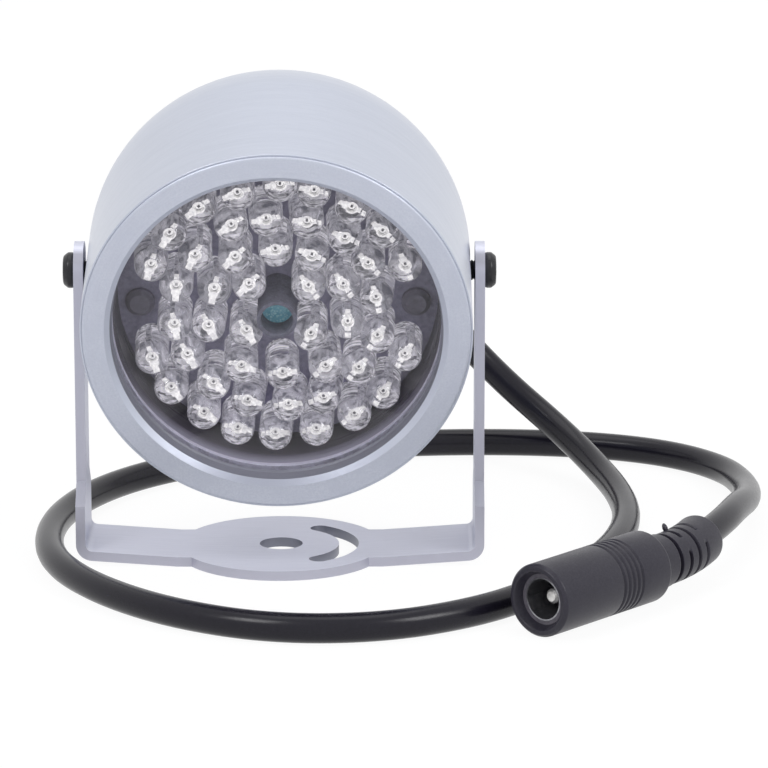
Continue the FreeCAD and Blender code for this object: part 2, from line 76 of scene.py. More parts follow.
look = Vector((
    math.sin(LOOK_ASIDE) * math.cos(LOOK_DOWN),
    math.cos(LOOK_ASIDE) * math.cos(LOOK_DOWN),
    -math.sin(LOOK_DOWN),
))
camera_data = bpy.data.cameras.new("product_camera")
camera_data.sensor_width = 36.0
camera_data.lens = LENS
camera_data.clip_start = 0.01
camera = add_to_scene("product_camera", camera_data)
camera.location = TARGET - look * DISTANCE
camera.rotation_euler = look.to_track_quat("-Z", "Y").to_euler()
bpy.context.scene.camera = camera
bpy.context.scene.view_settings.view_transform = "Standard"
print("camera at", [round(v, 4) for v in camera.location])

# %% [markdown]
# ## The lead
# The lead is a round rubber-sheathed cable, 4.2 mm thick. It leaves the bush at the lamp's rear,
# sinks to the floor on the right, loops in front of the bracket and behind it, and comes back to
# the socket. It could be a swept mesh. A bevelled NURBS curve is chosen, because it bends smoothly
# between few control points, as rubber does.

# %% Route of the lead
LEAD_DIAMETER = 4.2
ROUTE = (
    (-0.1, 32.491, 50.240), (-0.1, 38.328, 51.631), (1.4, 45.7, 51.6), (4.5, 52.2, 49.2),
    (8.7, 56.7, 44.9), (13.3, 58.8, 39.2), (20.4, 58.2, 28.5), (25.9, 53.9, 21.3),
    (33.9, 51.6, 13.2), (42.6, 45.6, 6.9), (48.2, 35.8, 3.3), (51.0, 24.2, 2.3),
    (51.6, 11.6, 2.12), (49.4, -1.6, 2.12), (44.6, -14.6, 2.12), (37.4, -26.8, 2.12),
    (28.0, -37.6, 2.12), (14.6, -45.0, 2.12), (-0.6, -45.4, 2.12), (-14.6, -38.0, 2.12),
    (-25.6, -26.2, 2.12), (-32.8, -12.0, 2.12), (-34.6, 4.0, 2.12), (-31.8, 19.6, 2.12),
    (-24.4, 33.6, 2.12), (-12.4, 44.4, 2.12), (2.6, 51.8, 2.12), (19.0, 55.6, 2.12),
    (35.6, 56.2, 2.12), (50.0, 53.8, 2.12), (61.0, 48.2, 2.12), (68.2, 38.4, 2.3),
    (70.3, 26.4, 2.8), (69.6, 14.6, 4.2), (67.3, 4.6, 5.8),
    (64.098, -6.550, 6.319), (60.508, -13.224, 5.735),
)

lead_curve = bpy.data.curves.new("power_lead_sheath", "CURVE")
lead_curve.dimensions = "3D"
lead_curve.bevel_depth = LEAD_DIAMETER / 2 * MM
lead_curve.bevel_resolution = 8
lead_curve.resolution_u = 10
lead_curve.use_fill_caps = True
lead_line = lead_curve.splines.new("NURBS")
lead_line.points.add(len(ROUTE) - 1)
for point, (x, y, z) in zip(lead_line.points, ROUTE):
    point.co = (x * MM, y * MM, z * MM, 1.0)
lead_line.order_u = 3
lead_line.use_endpoint_u = True
lead = add_to_scene("power_lead_sheath", lead_curve)
print("lead control points", len(ROUTE))

# %% [markdown]
# ## Helpers for pieces
# Most pieces of such a lamp are turned on a lathe: an outline is carried round an axis. The screw
# modifier could do that, but plain mesh code keeps the corners where the outline puts them. They
# are rounded first, because no real edge is perfectly sharp, and a soft edge catches the light.

# %% Turned pieces
ROUNDING_STEPS = 3
SIDE_SHARE = 0.48  # a rounding takes at most this share of a side
SHARP_ANGLE = 35   # degrees past which an edge stays sharp


def soften(outline):
    """Rounds the corners of an outline of (radius, depth, rounding) in mm; 0 stays sharp."""
    soft = []
    last = len(outline) - 1
    for number, (radius, depth, rounding) in enumerate(outline):
        here = Vector((radius, depth))
        if rounding == 0 or number in (0, last):
            soft.append(here)
            continue
        back = Vector(outline[number - 1][:2]) - here
        ahead = Vector(outline[number + 1][:2]) - here
        reach = rounding / math.tan(back.angle(ahead) / 2)
        reach = min(reach, SIDE_SHARE * back.length, SIDE_SHARE * ahead.length)
        start = here + back.normalized() * reach
        end = here + ahead.normalized() * reach
        for step in range(ROUNDING_STEPS + 1):
            t = step / ROUNDING_STEPS
            soft.append(start * (1 - t) ** 2 + here * 2 * t * (1 - t) + end * t ** 2)
    return [(corner.x, corner.y) for corner in soft]


def turns(count):
    """Angles that divide a full turn evenly."""
    return [2 * math.pi * k / count for k in range(count)]


def add_rings(maker, rings, closed=False):
    """Adds rings of corners, with faces between them. A ring of one corner is a pole."""
    rings = [[maker.verts.new(corner) for corner in ring] for ring in rings]
    pairs = list(zip(rings, rings[1:]))
    if closed:
        pairs.append((rings[-1], rings[0]))
    for lower, upper in pairs:
        count = max(len(lower), len(upper))
        for k in range(count):
            n = (k + 1) % count
            corners = [lower[k], lower[n]] if len(lower) > 1 else [lower[0]]
            corners += [upper[n], upper[k]] if len(upper) > 1 else [upper[0]]
            maker.faces.new(corners)


def mesh_from(maker, name, sharp=SHARP_ANGLE):
    """Turns bmesh data into a smooth mesh whose edges stay sharp past an angle in degrees."""
    bmesh.ops.recalc_face_normals(maker, faces=maker.faces)
    mesh = bpy.data.meshes.new(name)
    maker.to_mesh(mesh)
    maker.free()
    mesh.polygons.foreach_set("use_smooth", [True] * len(mesh.polygons))
    mesh.set_sharp_from_angle(angle=math.radians(sharp))
    return mesh


def turned_mesh(name, outline, segments, closed=False):
    """A mesh of an outline of (radius, depth) in mm, carried round the Y axis."""
    maker = bmesh.new()
    add_rings(maker, [
        [(radius * math.sin(turn), depth, radius * math.cos(turn))
         for turn in turns(segments if radius > 0 else 1)]
        for radius, depth in outline], closed)
    return mesh_from(maker, name)


print("turning helpers ready")

# %% [markdown]
# Some shapes are cut: a mill's flat spot, a screw's cross. A boolean modifier does that exactly.
# Its result is read back as a plain mesh, so no cutter is left in the scene.

# %% Cutting
def cut_away(mesh, cutter_mesh):
    """The mesh with the shape of the cutter's mesh cut out of it."""
    body = add_to_scene("body_to_cut", mesh)
    cutter = add_to_scene("cutter", cutter_mesh)
    cut = body.modifiers.new("cut", "BOOLEAN")
    cut.operation = "DIFFERENCE"
    cut.solver = "EXACT"
    cut.use_self = True
    cut.object = cutter
    bpy.context.view_layer.update()
    cut_body = body.evaluated_get(bpy.context.evaluated_depsgraph_get())
    result = bpy.data.meshes.new_from_object(cut_body)
    for item in (body, cutter):
        bpy.data.objects.remove(item)
    bpy.data.meshes.remove(cutter_mesh)
    result.set_sharp_from_angle(angle=math.radians(SHARP_ANGLE))
    return result


print("cutting helper ready")

# %% [markdown]
# Every piece needs the same paperwork: millimetres become metres, it rides on one body of the
# frame, and it may stand for solids that are then hidden. Most pieces sit in the lamp's own frame,
# whose front face is at depth 0 and whose +Y runs to the rear; it is tilted down as in the
# photograph.

# %% Placing pieces
TILT = math.radians(13.4)
LAMP_SHIFT = -0.1
PIVOT_HEIGHT = 42.5
PIVOT_DEPTH = 20.9
lamp_place = (
    Matrix.Translation((LAMP_SHIFT, 0, PIVOT_HEIGHT))
    @ Matrix.Rotation(TILT, 4, "X")
    @ Matrix.Translation((0, -PIVOT_DEPTH, 0))
)


def place_piece(name, mesh, replaces=(), place=lamp_place, even=True):
    """Adds a mesh in mm as a piece of the lamp; even keeps its flat faces evenly shaded."""
    mesh.transform(Matrix.Scale(MM, 4) @ place)
    piece = add_to_scene(name, mesh)
    if even:
        shading = piece.modifiers.new("even_shading", "WEIGHTED_NORMAL")
        shading.keep_sharp = True
    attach(piece, "lamp")
    if replaces:
        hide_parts(*replaces)
    low, high = piece.bound_box[0], piece.bound_box[6]
    size = [round((b - a) / MM, 1) for a, b in zip(low, high)]
    print(name, "faces", len(mesh.polygons), "size mm", size)
    return piece


def turned_piece(name, corners, segments, node, closed=True, even=True):
    """A turned piece that stands for one node, from corners of (radius, depth, rounding)."""
    mesh = turned_mesh(name, soften(corners), segments, closed)
    return place_piece(name, mesh, [node], even=even)


window_low, window_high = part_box("window_glass")
print("front face at", [round(v, 2) for v in lamp_place.translation],
      "window from", round(window_low.z, 4), "to", round(window_high.z, 4))

# %% [markdown]
# ## The housing
# The housing is a cast cup with straight sides and a domed rear, skimmed on a lathe. The solid
# shows its dome in a few flat steps, which catch the eye along an outline. Subdivision could smooth
# them, but the outline is simple, so it is turned once more with a fine arc. A mill faced two round
# spots where the pivot screws go in; here a short cylinder is cut away on each side.

# %% Housing
BODY_RADIUS = 27.73
BODY_LENGTH = 48.3
DOME_RADIUS = 23.5
CAVITY_RADIUS = 22.5
CAVITY_BACK = 45.8
CAVITY_DOME = 17.5
MOUTH_RADIUS = 27.45
MOUTH_EDGE = 0.3
SEAT_RADIUS = 24.8
SEAT_BACK = 16.1
RING_THICKNESS = 3.0
BUSH_RADIUS = 4.0
SPOT_RADIUS = 3.4
SPOT_DEPTH = 0.4
SPOT_REACH = 2.0


def arc(radius, depth, edge, steps):
    """Outline corners of a round edge, from the side at a radius to the end at a depth."""
    corners = []
    for step in range(steps + 1):
        turn = math.pi / 2 * step / steps
        corners.append((radius - edge + edge * math.cos(turn),
                        depth - edge + edge * math.sin(turn)))
    return corners


housing_outline = soften([
    (SEAT_RADIUS, RING_THICKNESS, 0), (MOUTH_RADIUS, RING_THICKNESS, 0),
    (MOUTH_RADIUS, MOUTH_EDGE, 0.08), (BODY_RADIUS, MOUTH_EDGE, 0.25), (BODY_RADIUS, 4.0, 0),
    (BODY_RADIUS, 14.0, 0),
])
housing_outline += arc(BODY_RADIUS, BODY_LENGTH, DOME_RADIUS, 28)
housing_outline += [(BUSH_RADIUS, BODY_LENGTH), (BUSH_RADIUS, CAVITY_BACK)]
housing_outline += reversed(arc(CAVITY_RADIUS, CAVITY_BACK, CAVITY_DOME, 8))
housing_outline += [(CAVITY_RADIUS, SEAT_BACK), (SEAT_RADIUS, SEAT_BACK)]
housing_mesh = turned_mesh("housing_turned", housing_outline, 192, closed=True)
for side in (-1, 1):
    spot = turned_mesh("spot_cutter", [
        (0, 0), (SPOT_RADIUS, 0), (SPOT_RADIUS, SPOT_REACH), (0, SPOT_REACH)], 64)
    spot.transform(
        Matrix.Translation((side * (BODY_RADIUS - SPOT_DEPTH), PIVOT_DEPTH, 0))
        @ Matrix.Rotation(-side * math.pi / 2, 4, "Z"))
    housing_mesh = cut_away(housing_mesh, spot)
place_piece("housing_turned", housing_mesh, ["housing_shell"])

# %% [markdown]
# ## The front ring
# The ring is screwed into the housing's mouth and holds the window. It was turned, so its bevel and
# outer edge are crisp but not sharp, and a fine groove shows round it. The solid leaves out these
# small roundings and the step that the window is bedded on, so its outline is drawn once more.

# %% Front ring
RING_BORE = 23.5
RING_RADIUS = 27.46
RING_CHAMFER = 0.8
RING_STEP = 0.25
RING_BED = 0.05

turned_piece("front_ring_turned", [
    (RING_BORE - RING_STEP, RING_THICKNESS, 0),
    (RING_BORE - RING_STEP, RING_THICKNESS - RING_BED, 0),
    (RING_BORE, RING_THICKNESS - RING_STEP - RING_BED, 0.05),
    (RING_BORE, RING_CHAMFER, 0.12),
    (RING_BORE + RING_CHAMFER, 0, 0.15),
    (RING_RADIUS, 0, 0.4),
    (RING_RADIUS, RING_THICKNESS, 0),
], 192, "front_ring")

# %% [markdown]
# ## The window stack
# Behind the ring lie the flat window, a grey seal and a dark grey spacer with a bevelled mouth.
# They only show through the window, as thin light and dark rings near its lower edge, so the seal
# and the spacer are turned again with soft edges.

# %% Window, seal and spacer
WINDOW_RADIUS = 24.6
WINDOW_BACK = 5.0
SEAL_BACK = 5.8
SEAL_BORE = 23.3
BOARD_FRONT = 14.5
SPACER_BORE = 23.0
SPACER_BEVEL = 0.7
SPACER_BEVEL_LENGTH = 1.8

turned_piece("window_pane", [
    (0, RING_THICKNESS, 0), (WINDOW_RADIUS, RING_THICKNESS, 0), (WINDOW_RADIUS, WINDOW_BACK, 0),
    (0, WINDOW_BACK, 0),
], 128, "window_glass", closed=False, even=False)
turned_piece("window_seal", [
    (WINDOW_RADIUS, WINDOW_BACK, 0), (SEAL_BORE, WINDOW_BACK, 0.1), (SEAL_BORE, SEAL_BACK, 0.1),
    (WINDOW_RADIUS, SEAL_BACK, 0),
], 128, "window_gasket")
turned_piece("spacer_turned", [
    (WINDOW_RADIUS, BOARD_FRONT, 0), (WINDOW_RADIUS, SEAL_BACK, 0),
    (SPACER_BORE + SPACER_BEVEL, SEAL_BACK, 0.12),
    (SPACER_BORE, SEAL_BACK + SPACER_BEVEL_LENGTH, 0.3), (SPACER_BORE, BOARD_FRONT, 0),
], 160, "spacer_sleeve")

# %% [markdown]
# ## The diodes
# A clear 5 mm diode is a barrel with a domed lens and a low collar, cast round a small silver
# leadframe: a reflector cup with the chip in it on a wide anvil, a thinner post, and a hair of wire
# between them. From the front the eye sees the cup, magnified. A picture of that could be painted
# on, but clear resin over a real cup changes with the view as it should, so both are modelled.

# %% One diode's lens
DIODE_TIP = 5.7
DIODE_RADIUS = 2.45
DIODE_FOOT = BOARD_FRONT - 0.05
COLLAR_RISE = 0.015
DOME_STEPS = 9

lens_outline = [(0.0, DIODE_TIP)]
for step in range(1, DOME_STEPS + 1):
    climb = math.radians(90 * step / DOME_STEPS)
    lens_outline.append((DIODE_RADIUS * math.sin(climb),
                         DIODE_TIP + DIODE_RADIUS * (1 - math.cos(climb))))
lens_outline += [
    (DIODE_RADIUS, BOARD_FRONT - 1.6),
    (DIODE_RADIUS + COLLAR_RISE, BOARD_FRONT - 1.45),
    (DIODE_RADIUS + COLLAR_RISE, DIODE_FOOT - 0.15),
    (DIODE_RADIUS - 0.1, DIODE_FOOT),
    (0.0, DIODE_FOOT),
]
lens_mesh = turned_mesh("diode_lens", lens_outline, 36)
print("lens rings", len(lens_outline))

# %% [markdown]
# The leadframe is stamped from sheet, so blocks round a small turned cup stand for it, with bars
# under the cup's rim. A cloudy foot and a pale ring near the board give the clear barrel something
# to bend; the ring is a painted highlight, standing in for the lit edges of a real one's collar.

# %% One diode's leadframe
CUP_DEPTH = DIODE_TIP + 2.45
CUP_RADIUS = 0.62
BAR_END = 2.6
FOOT_END = DIODE_FOOT - CUP_DEPTH
PLATE, CHIP, CLOUDY, SIDE = range(4)  # places of the leadframe's materials

# Radius and depth behind the rim, from the cup's floor round its lip to its stem.
CUP_OUTLINE = (
    (0.0, 0.30), (CUP_RADIUS - 0.30, 0.30), (CUP_RADIUS - 0.28, 0.22), (CUP_RADIUS - 0.13, 0.0),
    (CUP_RADIUS, 0.0), (CUP_RADIUS, 0.55), (0.40, 0.75), (0.0, 0.75),
)
# Left, right, front and back of each block, with depths behind the rim, half width and taper.
LEADFRAME_BLOCKS = (
    (0.45, 1.50, 0.05, FOOT_END, 0.28, 0.1),    # anvil
    (0.40, 0.86, 0.02, BAR_END, 0.42, 0.0),     # bar's wide end
    (-0.88, -0.42, 0.12, BAR_END, 0.26, 0.0),   # bar's narrow end
    (-0.42, 0.45, 0.5, BAR_END, 0.30, 0.0),     # bar under the cup
    (-1.50, -1.02, -0.1, FOOT_END, 0.26, 0.0),  # post
    (-1.12, 0.0, -0.17, -0.13, 0.02, 0.0),      # bond wire
    (-0.10, 0.10, 0.16, 0.29, 0.10, 0.0),       # chip
)
# Radius and height above the foot of the cloudy base and of the pale ring, a painted highlight.
BASE_OUTLINE = (
    (0.0, 0.25), (DIODE_RADIUS - 0.55, 0.25), (DIODE_RADIUS - 0.45, 0.6),
    (DIODE_RADIUS - 0.12, 0.6), (DIODE_RADIUS - 0.12, 0.05), (0.0, 0.05))
HIGHLIGHT_RING_OUTLINE = (
    (DIODE_RADIUS - 0.22, 1.5), (DIODE_RADIUS - 0.08, 1.5),
    (DIODE_RADIUS - 0.08, 1.38), (DIODE_RADIUS - 0.22, 1.38))


def add_block(maker, low, high, taper=0.0):
    """A block between two corners; taper moves the front of its left side to the right."""
    corners = []
    for y in (low[1], high[1]):
        left = low[0] + (taper if y == low[1] else 0.0)
        for x, z in ((left, low[2]), (high[0], low[2]), (high[0], high[2]), (left, high[2])):
            corners.append(maker.verts.new((x, y, z)))
    a, b, c, d, e, f, g, h = corners
    for face in ((a, b, c, d), (h, g, f, e), (a, e, f, b),
                 (b, f, g, c), (c, g, h, d), (d, h, e, a)):
        maker.faces.new(face)


def absorb(maker, mesh):
    """Moves a mesh into bmesh data."""
    maker.from_mesh(mesh)
    bpy.data.meshes.remove(mesh)


maker = bmesh.new()
absorb(maker, turned_mesh("cup", [(r, CUP_DEPTH + depth) for r, depth in CUP_OUTLINE], 24))
for face in maker.faces:
    near_axis = face.calc_center_median().xz.length < CUP_RADIUS - 0.2
    face.material_index = CHIP if near_axis and abs(face.normal.y) < 0.3 else PLATE
for left, right, front, back, half_width, taper in LEADFRAME_BLOCKS:
    add_block(maker, (left, CUP_DEPTH + front, -half_width),
              (right, CUP_DEPTH + back, half_width), taper)
base_start = len(maker.faces)
chip_start = base_start - 6
absorb(maker, turned_mesh("diode_base", [(r, DIODE_FOOT - up) for r, up in BASE_OUTLINE], 24))
# The pale ring is a painted highlight; it takes the cloudy foot's glowing finish.
absorb(maker, turned_mesh(
    "diode_highlight_ring", [(r, DIODE_FOOT - up) for r, up in HIGHLIGHT_RING_OUTLINE], 24, closed=True))
maker.faces.ensure_lookup_table()
maker.normal_update()
for number, face in enumerate(maker.faces):
    centre = face.calc_center_median()
    in_cup = centre.xz.length < CUP_RADIUS - 0.1 and centre.y < CUP_DEPTH + 0.4
    if number >= base_start:
        face.material_index = CLOUDY
    elif number >= chip_start:
        face.material_index = CHIP
    # Painted shade: the leadframe's sides take a darker copy of its plating.
    elif abs(face.normal.y) < 0.5 and not in_cup:
        face.material_index = SIDE
frame_mesh = mesh_from(maker, "diode_leadframe")
for _ in (PLATE, CHIP, CLOUDY, SIDE):
    frame_mesh.materials.append(None)
print("leadframe faces", len(frame_mesh.polygons))

# %% [markdown]
# The diodes stand in three rings and a centre group of four. They were put in by hand, so each one
# leans and turns its own way. A random lean would do for a lamp in general; this lamp's pattern is
# plain to see, so each diode's drift from its place is written down, as seen at its cup. Half of a
# drift is a hole off its place, and half is lean. The copies of a ring become one mesh, which keeps
# the scene light.

# %% Rings and drifts
# Each ring: its name and radius, its diodes' places round it in degrees, and for each diode its
# drift aside and up in tenths of a millimetre and its own turn in degrees.
RINGS = (
    ("outer_ring", 19.95, [(k / 8 - 0.5) * 135.2 + half for half in (0, 180) for k in range(9)], (
        (7, -3, -7), (4, -5, -10), (2, -4, -7), (4, -7, -6), (6, -2, -9), (-5, -3, -6),
        (-5, -4, -8), (-5, -1, -8), (-3, -4, 2), (-3, 7, 8), (-4, -4, -9), (-2, 0, -6), (-4, 1, 8),
        (-5, 3, -2), (-1, 3, -2), (4, 3, 6), (1, 4, 5), (5, 2, 7))),
    ("middle_ring", 14.95, [-8.4 + 22.5 * k for k in range(16)], (
        (8, -4, -4), (7, -5, -9), (8, -5, -11), (1, -2, -11), (-8, -1, -5), (-3, -4, 17),
        (-5, -2, 1), (-13, -11, 7), (-8, -2, 2), (-8, 2, 2), (-4, 5, 8), (-1, 8, 5), (1, 1, 0),
        (2, 4, -11), (5, -1, -11), (14, 7, -5))),
    ("inner_ring", 9.95, [-1.6 + 36 * k for k in range(10)], (
        (1, -3, -12), (-7, 6, -13), (0, 9, -14), (5, 11, -16), (8, -10, -4), (4, 1, -1),
        (4, -6, -12), (-5, 11, -5), (7, 8, -5), (2, 7, -9))),
    ("centre", 5.5, [-1.6 + 36 * gap for gap in (1.5, 3.5, 6.5, 8.5)], (
        (1, 6, 3), (2, -6, -5), (-1, 3, 11), (6, 12, 9))),
)
print("diodes", [len(drifts) for _, _, _, drifts in RINGS])

# %% Rings of diodes
LEAN_REACH = 7.0
HALF_TENTH = 0.05


def diode_places(radius, bearings, drifts):
    """A place for each diode of a ring, with its own drift, lean and turn."""
    places = []
    forward = Vector((0, -1, 0))
    for bearing, (aside, up, own_turn) in zip(bearings, drifts):
        angle = math.radians(bearing)
        offset = Vector((aside, 0, up)) * HALF_TENTH
        foot = Vector((radius * math.sin(angle), BOARD_FRONT, radius * math.cos(angle))) + offset
        lean = forward.rotation_difference(forward * LEAN_REACH + offset).to_matrix().to_4x4()
        twist = Matrix.Rotation(angle + math.pi + math.radians(own_turn), 4, "Y")
        down = Matrix.Translation((0, -BOARD_FRONT, 0))
        places.append(Matrix.Translation(foot) @ lean @ twist @ down)
    return places


def copies(name, pattern, places):
    """One mesh of copies of a pattern mesh, one at each place."""
    maker = bmesh.new()
    for place in places:
        first = len(maker.verts)
        maker.from_mesh(pattern)
        maker.verts.ensure_lookup_table()
        bmesh.ops.transform(maker, matrix=place, verts=maker.verts[first:])
    mesh = mesh_from(maker, name)
    for _ in pattern.materials:
        mesh.materials.append(None)
    return mesh


for ring_name, radius, bearings, drifts in RINGS:
    places = diode_places(radius, bearings, drifts)
    lens_name, frame_name = "diode_lenses_" + ring_name, "diode_frames_" + ring_name
    place_piece(lens_name, copies(lens_name, lens_mesh, places),
                ["leds_" + ring_name], even=False)
    place_piece(frame_name, copies(frame_name, frame_mesh, places), even=False)

# %% [markdown]
# ## The socket
# The socket is one soft moulding over the lead's end: a smooth barrel with five grip grooves, a
# shoulder, a neck, and a strain relief whose grooves let the lead bend, with a nub of flash left on
# it. It could be put together from parts, but one skin keeps its edges soft all over: each ring of
# corners sits on the moulding's centre line, which bends in the relief, and a small formula gives
# its radius.

# %% Centre line of the socket
PLUG_FACE = (36.1, -42.7, 5.22)
PLUG_TURN = math.radians(-42)
PLUG_BACK = 27.2
BEND_RADIUS = 36.0
ROLL = math.radians(18.0)
INWARD = Vector((-math.cos(ROLL), 0, math.sin(ROLL)))
plug_place = Matrix.Translation(PLUG_FACE) @ Matrix.Rotation(PLUG_TURN, 4, "Z")


def centre_line(length):
    """Point, side and up directions of the socket's centre line at a length behind its face."""
    angle = max(0.0, length - PLUG_BACK) / BEND_RADIUS
    point = Vector((0, min(length, PLUG_BACK) + BEND_RADIUS * math.sin(angle), 0))
    point += INWARD * (BEND_RADIUS * (1 - math.cos(angle)))
    bend = Quaternion(Vector((0, 1, 0)).cross(INWARD), angle)
    return point, bend @ Vector((1, 0, 0)), bend @ Vector((0, 0, 1))


print("neck ends", [round(v, 2) for v in centre_line(PLUG_BACK)[0]])

# %% Radius of the strain relief
RELIEF_RADIUS = 3.75
RELIEF_CORE = 2.9
RELIEF_GROOVE = 0.75
RELIEF_GROOVES = 4
RELIEF_PITCH = 1.3 + RELIEF_GROOVE
RELIEF_WEB = 2.6
RELIEF_WEB_TURN = math.radians(43.5)
RELIEF_LENGTH = (RELIEF_GROOVES - 1) * RELIEF_PITCH + RELIEF_GROOVE + 4.3
GROOVE_EDGE = 0.22
WEB_EDGE = 0.06
END_EDGE = 0.5
END_DROP = 0.35


def smooth_step(low, high, value):
    """Goes softly from 0 to 1 while the value goes from low to high."""
    t = min(1.0, max(0.0, (value - low) / (high - low)))
    return t * t * (3 - 2 * t)


def relief_radius(along, turn):
    """Radius of the strain relief: rings and grooves, with webs across every second groove."""
    number = min(int(along / RELIEF_PITCH), RELIEF_GROOVES - 1)
    inside = along - number * RELIEF_PITCH
    depth = smooth_step(0.0, GROOVE_EDGE, inside)
    depth *= 1 - smooth_step(RELIEF_GROOVE - GROOVE_EDGE, RELIEF_GROOVE, inside)
    if number % 2:
        half_web = math.asin(RELIEF_WEB / 2 / RELIEF_RADIUS)
        from_web = math.asin(min(1.0, abs(math.sin(turn - RELIEF_WEB_TURN))))
        depth *= smooth_step(half_web - WEB_EDGE, half_web + WEB_EDGE, from_web)
    end = smooth_step(RELIEF_LENGTH - END_EDGE, RELIEF_LENGTH, along) ** 2
    return RELIEF_RADIUS - depth * (RELIEF_RADIUS - RELIEF_CORE) - END_DROP * end


print("relief length", round(RELIEF_LENGTH, 2))

# %% Skin of the socket
BARREL_RADIUS = 5.2
GRIP_RADIUS = 4.88
GRIP_START = 12.7
ROW_LENGTH = 0.09
SKIN_SEGMENTS = 72
SKIN_SHARP = 50
NUB_LENGTH = 30.8
NUB_TURN = math.radians(115)
NUB_RADIUS = 0.46
NUB_RISE = 0.32
NUB_SHAPE = (1, 0.8, 1.6, 1)

barrel = [
    (3.6, 15.3, 0), (3.6, 1.3, 0.1), (4.2, 0.0, 0.25), (4.8, 0.0, 0.25), (BARREL_RADIUS, 0.5, 0.4),
]
for k in range(5):
    groove = GRIP_START + k
    barrel += [(BARREL_RADIUS, groove, 0.08), (GRIP_RADIUS, groove + 0.3, 0.1),
               (BARREL_RADIUS, groove + 0.6, 0.08)]
barrel += [(BARREL_RADIUS, 23.2, 0.6), (3.9, 24.4, 0.5), (3.9, 26.9, 0.3),
           (RELIEF_RADIUS, PLUG_BACK, 0)]
skin_rows = [(length, lambda turn, radius=radius: radius) for radius, length in soften(barrel)]
row_count = int(RELIEF_LENGTH / ROW_LENGTH)
for row in range(1, row_count + 1):
    along = RELIEF_LENGTH * row / row_count
    skin_rows.append((PLUG_BACK + along, lambda turn, along=along: relief_radius(along, turn)))
skin_rows.append((PLUG_BACK + RELIEF_LENGTH, lambda turn: LEAD_DIAMETER / 2))

maker = bmesh.new()
skin_rings = []
for length, radius_at in skin_rows:
    point, side, up = centre_line(length)
    skin_rings.append([
        point + side * radius_at(turn) * math.cos(turn) + up * radius_at(turn) * math.sin(turn)
        for turn in turns(SKIN_SEGMENTS)])
add_rings(maker, skin_rings)

point, side, up = centre_line(NUB_LENGTH)
outward = side * math.cos(NUB_TURN) + up * math.sin(NUB_TURN)
nub_place = (
    Matrix.Translation(point + outward * (RELIEF_RADIUS + NUB_RISE))
    @ outward.to_track_quat("Z", "Y").to_matrix().to_4x4() @ Matrix.Diagonal(NUB_SHAPE))
bmesh.ops.create_icosphere(maker, subdivisions=2, radius=NUB_RADIUS, matrix=nub_place)
socket = place_piece("socket_moulding", mesh_from(maker, "socket_moulding", SKIN_SHARP),
                     ["socket_body"], plug_place, even=False)

# %% [markdown]
# ## Screws and bush
# The pivot screws are black pan heads with a cross recess, cut here by two blocks that narrow
# inwards. A little of their thread shows between the arms and the housing, so the shank gets real
# ridges there; a bump would not show at its edge. The bush is rubber.

# %% Pivot screws
ARM_OUTER = 29.65
HEAD_GAP = 0.05
HEAD_RADIUS = 2.6
HEAD_HEIGHT = 1.7
SCREW_RADIUS = 1.5
THREAD_START = -6.4
THREAD_PITCH = 0.5
THREAD_TURNS = 12
CROSS_SPAN = 3.0
CROSS_WIDTH = 0.62
CROSS_DEPTH = 1.0

screw_outline = [(0.0, -7.0, 0), (1.2, -7.0, 0.1), (SCREW_RADIUS, -6.6, 0.1)]
for k in range(THREAD_TURNS):
    shank = THREAD_START + THREAD_PITCH * k
    screw_outline += [(SCREW_RADIUS - 0.24, shank + THREAD_PITCH / 2, 0.04),
                      (SCREW_RADIUS, shank + THREAD_PITCH, 0.04)]
screw_outline += [
    (SCREW_RADIUS - 0.2, -0.2, 0.03), (SCREW_RADIUS - 0.2, 0.0, 0), (HEAD_RADIUS - 0.1, 0.0, 0.1),
    (HEAD_RADIUS, 0.35, 0.2), (HEAD_RADIUS, 0.9, 0.5), (HEAD_RADIUS - 0.55, HEAD_HEIGHT - 0.1, 0.6),
    (0.0, HEAD_HEIGHT, 0),
]
cross = bmesh.new()
for turn in (0, math.pi / 2):
    first = len(cross.verts)
    add_block(cross, (-CROSS_SPAN / 2, HEAD_HEIGHT - CROSS_DEPTH, -CROSS_WIDTH / 2),
              (CROSS_SPAN / 2, HEAD_HEIGHT + 0.5, CROSS_WIDTH / 2))
    cross.verts.ensure_lookup_table()
    arm = cross.verts[first:]
    for vert in arm:
        if vert.co.y < HEAD_HEIGHT:
            vert.co.x *= 0.6
            vert.co.z *= 0.7
    bmesh.ops.rotate(cross, cent=(0, 0, 0), matrix=Matrix.Rotation(turn, 3, "Y"), verts=arm)
screw_mesh = cut_away(turned_mesh("pivot_screw", soften(screw_outline), 48),
                      mesh_from(cross, "cross_cutter"))
sides = []
for side, spin in ((-1, 0.4), (1, 1.1)):
    seat = Matrix.Translation((side * (ARM_OUTER + HEAD_GAP), 0, PIVOT_HEIGHT))
    inward = Matrix.Rotation(-side * math.pi / 2, 4, "Z")
    sides.append(seat @ inward @ Matrix.Rotation(spin, 4, "Y"))
place_piece("pivot_screws_threaded", copies("pivot_screws_threaded", screw_mesh, sides),
            ["pivot_screws"], Matrix.Identity(4))

# %% Cable bush
turned_piece("cable_bush_moulded", [
    (0.0, 44.3, 0), (5.0, 44.3, 0.3), (5.0, 45.8, 0), (4.0, 45.8, 0), (4.0, 48.2, 0),
    (5.6, 48.2, 0.1), (5.6, 50.1, 0.6), (4.2, 50.1, 0.4), (3.0, 54.3, 0.5), (2.1, 54.3, 0),
    (0.0, 54.3, 0),
], 72, "cable_bush", closed=False)

# %% [markdown]
# ## Nodes for finishes
# A finish is a small network of nodes. Short helpers keep those networks readable: they add a node
# and fill its inputs, do arithmetic, stretch a value from one range to another, and blend colours.

# %% Node helpers
def start_tree(new_tree):
    """Empties a node tree; the helpers work in the one that was started last."""
    global tree
    tree = new_tree
    tree.nodes.clear()


def fill(socket, value):
    """Links an output to a socket, or writes a number or a colour into it."""
    if isinstance(value, bpy.types.NodeSocket):
        tree.links.new(value, socket)
    else:
        socket.default_value = (*value, 1.0) if socket.type == "RGBA" else value


